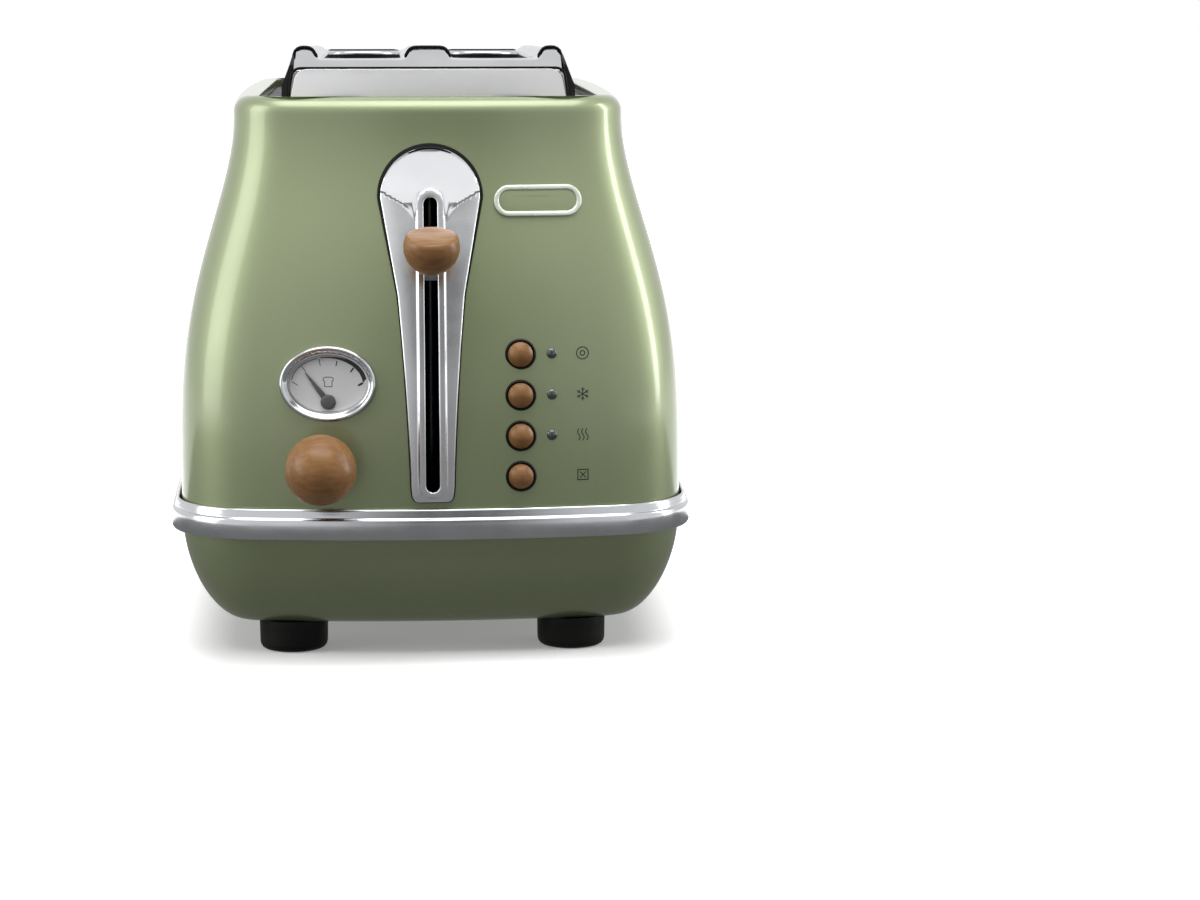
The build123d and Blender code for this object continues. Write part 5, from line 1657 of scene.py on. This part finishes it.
class Feet(Builder):
    """Four rubber feet with a rounded tread and a recess for their screws."""

    profile = (
        (1.9, 12.0), (12.9, 12.0), (12.98, 11.8), (12.9, 9.0), (12.85, 5.0), (12.8, 2.8), (12.55, 1.7),
        (12.0, 0.85), (11.2, 0.3), (10.2, 0.03), (9.4, 0.0), (8.4, 0.0), (8.0, 0.35), (6.4, 0.35),
        (6.0, 0.0), (4.3, 0.0), (4.0, 0.3), (4.0, 5.0), (1.9, 5.0),
    )

    def build(self) -> None:
        """Build the feet."""
        for node in ("front_left_foot", "front_right_foot", "rear_left_foot", "rear_right_foot"):
            low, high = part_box(node)
            x, y = (low.x + high.x) / 2 / MM, (low.y + high.y) / 2 / MM
            rings = turned(self.profile, lambda u, v, w: (x + u, y + v, w), 64)
            self.hand_over(ring_form(node + "_pad", rings, closed=True), Finish.RUBBER, node, angle=40)


class CarriedOver(Builder):
    """The pieces that keep their own shape and get a better finish."""

    softened = {
        "crumb_tray": 0.2, "crumb_tray_panel": 0.5, "top_collar": 0.4, "cord_grommet": 0.5,
        "right_outer_guard": 0.0, "right_inner_guard": 0.0, "left_outer_guard": 0.0, "left_inner_guard": 0.0,
        "guide_rod": 0.3,
    }

    def build(self) -> None:
        """Dress every carried-over piece, and round the edges of those in view."""
        record = frame["record"]
        slots = {part["node"]: part["material_slot"] for part in record["subparts"]}
        bodies = {node: body for body, nodes in record["behaviour"]["bodies"].items() for node in nodes}
        for node, slot in slots.items():
            finish = FINISH_OF_SLOT[slot]
            if node not in self.softened:
                self.finishes.dress(frame["nodes"][node], finish)
                continue
            piece = merged_copy(node, node + "_shape")
            if self.softened[node]:
                soften(piece, self.softened[node])
            if node == "top_collar":
                self.lower_cheeks(piece)
            self.hand_over(piece, finish, node, body=bodies[node], slot=slot, angle=40)

    @staticmethod
    def lower_cheeks(piece: Object) -> None:
        """Let the collar's cheeks fall towards the back, below the cover's shoulders."""
        s = CoverSizes()
        foot = s.foot_z + 8.0
        for vertex in piece.data.vertices:
            place = vertex.co / MM
            along = min(max(s.along(place.y), 0.0), 1.0)
            top = s.rail_top + (s.rail_far - s.rail_top) * along - 0.6
            if place.z > foot:
                share = (place.z - foot) / (COVER_HIGH.z - foot)
                vertex.co.z = (foot + share * (top - foot)) * MM
        piece.data.update()


@dataclass(frozen=True)
class CameraPlace:
    """Where the camera stands, in metres, and how it is turned, in degrees."""

    lens: float = 93.36
    eye: Point = (-0.015, -1.2590, 0.2515)
    pitch: float = 8.62
    yaw: float = 3.873


class Studio:
    """Pale floor and background, soft lights and the camera."""

    def build(self) -> None:
        """Build the stage, the lights and the camera."""
        bpy.context.scene.view_settings.view_transform = "Standard"
        self.camera()
        self.world()
        self.floor()
        self.lights()
        self._card("front_card", (-1.6, -2.4, 0.0), (1.6, -2.4, 1.50), self._front_grey)
        self._card("floor_card", (-1.0, -2.4, 0.001), (1.0, 0.15, 0.001), self._floor_grey)

    @staticmethod
    def camera() -> None:
        """Camera at the photograph's place."""
        place = CameraPlace()
        data = bpy.data.cameras.new("camera")
        data.lens = place.lens
        data.sensor_width = 36.0
        camera = bpy.data.objects.new("camera", data)
        camera.location = place.eye
        camera.rotation_euler = (math.radians(90 - place.pitch), 0, math.radians(-place.yaw))
        bpy.context.scene.collection.objects.link(camera)
        bpy.context.scene.camera = camera

    @staticmethod
    def _seen(wiring: Wiring) -> NodeSocket:
        """1 for what the camera, metal and glass see of the background."""
        path = wiring.add("LightPath").outputs
        both = wiring.number("MAXIMUM", path["Is Camera Ray"], path["Is Glossy Ray"])
        return wiring.number("MAXIMUM", both, path["Is Transmission Ray"])

    def world(self) -> None:
        """White surroundings that light the object softly."""
        world = bpy.data.worlds.new("surroundings")
        world.use_nodes = True
        bpy.context.scene.world = world
        wiring = Wiring(world.node_tree)
        colour = wiring.blend(self._seen(wiring), (0.16, 0.16, 0.164), (1.0, 1.0, 1.0))
        wiring.feed(world.node_tree.nodes["Background"], {"Color": colour, "Strength": 1.0})

    def floor(self) -> None:
        """Plain floor that keeps the object's shadow and turns white beside it with painted light."""
        only()
        bpy.ops.mesh.primitive_plane_add(size=8.0)
        floor = bpy.context.object
        floor.name = "floor"
        material = bpy.data.materials.new("pale_floor")
        material.use_nodes = True
        wiring = Wiring(material.node_tree)
        where = wiring.add("TexCoord").outputs["Object"]
        size = wiring.add("VectorMath", {0: where}, operation="ABSOLUTE").outputs[0]
        beyond = wiring.add("VectorMath", {0: size, 1: (0.075, 0.12, 0.0)}, operation="SUBTRACT").outputs[0]
        beyond = wiring.add("VectorMath", {0: beyond, 1: (0.0, 0.0, 0.0)}, operation="MAXIMUM").outputs[0]
        distance = wiring.add("VectorMath", {0: beyond}, operation="LENGTH").outputs["Value"]
        # Painted light for camera, metal and glass rays: a weak glow over the object's footprint, where its real
        # shadow shows, rising to full white beside it, painted over any shadow there.
        glow = wiring.between(distance, 0.22, 1.0, 0.0, 0.05)
        bounce = wiring.add("LightPath").outputs["Is Diffuse Ray"]
        wiring.feed(material.node_tree.nodes["Principled BSDF"], {
            "Base Color": wiring.blend(bounce, (0.86, 0.86, 0.86), (0.2, 0.2, 0.2)),
            "Roughness": 0.9,
            "Specular IOR Level": 0.1,
            "Emission Color": (1, 1, 1, 1),
            "Emission Strength": wiring.number("MULTIPLY", self._seen(wiring), glow),
        })
        floor.data.materials.append(material)

    @staticmethod
    def lights() -> None:
        """A wide lamp overhead and one at each side, all of them turned to the object."""
        for name, place, size, power in (
            ("overhead", (0.0, -0.55, 1.7), (1.8, 1.3), 30),
            ("left_side", (-1.75, -0.45, 0.70), (1.1, 1.5), 17),
            ("right_side", (1.80, 0.05, 0.70), (0.35, 1.5), 16),
        ):
            data = bpy.data.lights.new(name, "AREA")
            data.shape = "RECTANGLE"
            data.size, data.size_y = size
            data.energy = power
            lamp = bpy.data.objects.new(name, data)
            lamp.location = place
            way = Vector((0.0, 0.0, 0.12)) - Vector(place)
            lamp.rotation_euler = way.to_track_quat("-Z", "Y").to_euler()
            bpy.context.scene.collection.objects.link(lamp)

    @staticmethod
    def _sideways(wiring: Wiring) -> tuple[NodeSocket, Sequence[NodeSocket]]:
        """How far a place on a card is to the side, from 0 in the middle to 1, and its coordinates."""
        parts = wiring.add("SeparateXYZ", {0: wiring.add("TexCoord").outputs["Object"]}).outputs
        ahead = wiring.number("MAXIMUM", wiring.number("MULTIPLY", parts[1], -1.0), 0.3)
        turn = wiring.number("SUBTRACT", wiring.number("DIVIDE", parts[0], ahead), 0.06)
        return wiring.between(wiring.number("ABSOLUTE", turn), 0.0, 1.0, 0.07, 0.34), parts

    @classmethod
    def _front_grey(cls, wiring: Wiring) -> NodeSocket:
        """Grey that grows towards the sides and the top."""
        side, parts = cls._sideways(wiring)
        rise = wiring.between(parts[2], 0.34, 0.18, 0.1, 0.5)
        above = wiring.between(parts[2], 0.0, 1.0, 1.15, 1.45)
        return wiring.mix(side, wiring.mix(above, rise, 1.3), 1.0)

    @classmethod
    def _floor_grey(cls, wiring: Wiring) -> NodeSocket:
        """Dark grey near the object, paler to the sides further away."""
        side, parts = cls._sideways(wiring)
        far = wiring.between(parts[1], 1.0, 0.0, -0.9, -0.42)
        return wiring.mix(wiring.number("MULTIPLY", side, far), 0.24, 0.9)

    @staticmethod
    def _card(name: str, low: Point, high: Point, grey: Callable[[Wiring], NodeSocket]) -> None:
        """Card between two corners that only metal, glass and gloss see."""
        only()
        bpy.ops.mesh.primitive_plane_add(size=1.0)
        card = bpy.context.object
        card.name = name
        for vertex in card.data.vertices:
            right, far = vertex.co.x > 0, vertex.co.y > 0
            vertex.co = (high[0] if right else low[0], high[1] if far else low[1], high[2] if far else low[2])
        material = bpy.data.materials.new(name)
        material.use_nodes = True
        material.node_tree.nodes.clear()
        wiring = Wiring(material.node_tree)
        glow = wiring.add("Emission", {"Color": (1, 1, 1, 1), "Strength": grey(wiring)})
        wiring.add("OutputMaterial", {"Surface": glow.outputs[0]})
        card.data.materials.append(material)
        card.visible_camera = False
        card.visible_diffuse = False
        card.visible_shadow = False


def main() -> None:
    """Build the whole scene, piece by piece."""
    logging.basicConfig(level=logging.INFO, format="%(name)s: %(message)s", stream=sys.stdout)
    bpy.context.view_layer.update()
    finishes = FinishBook()
    for maker in (CarriedOver, Shell, Lever, Gauge, Controls, Top, Feet):
        maker(finishes).build()
    Studio().build()


if __name__ == "__main__":
    main()
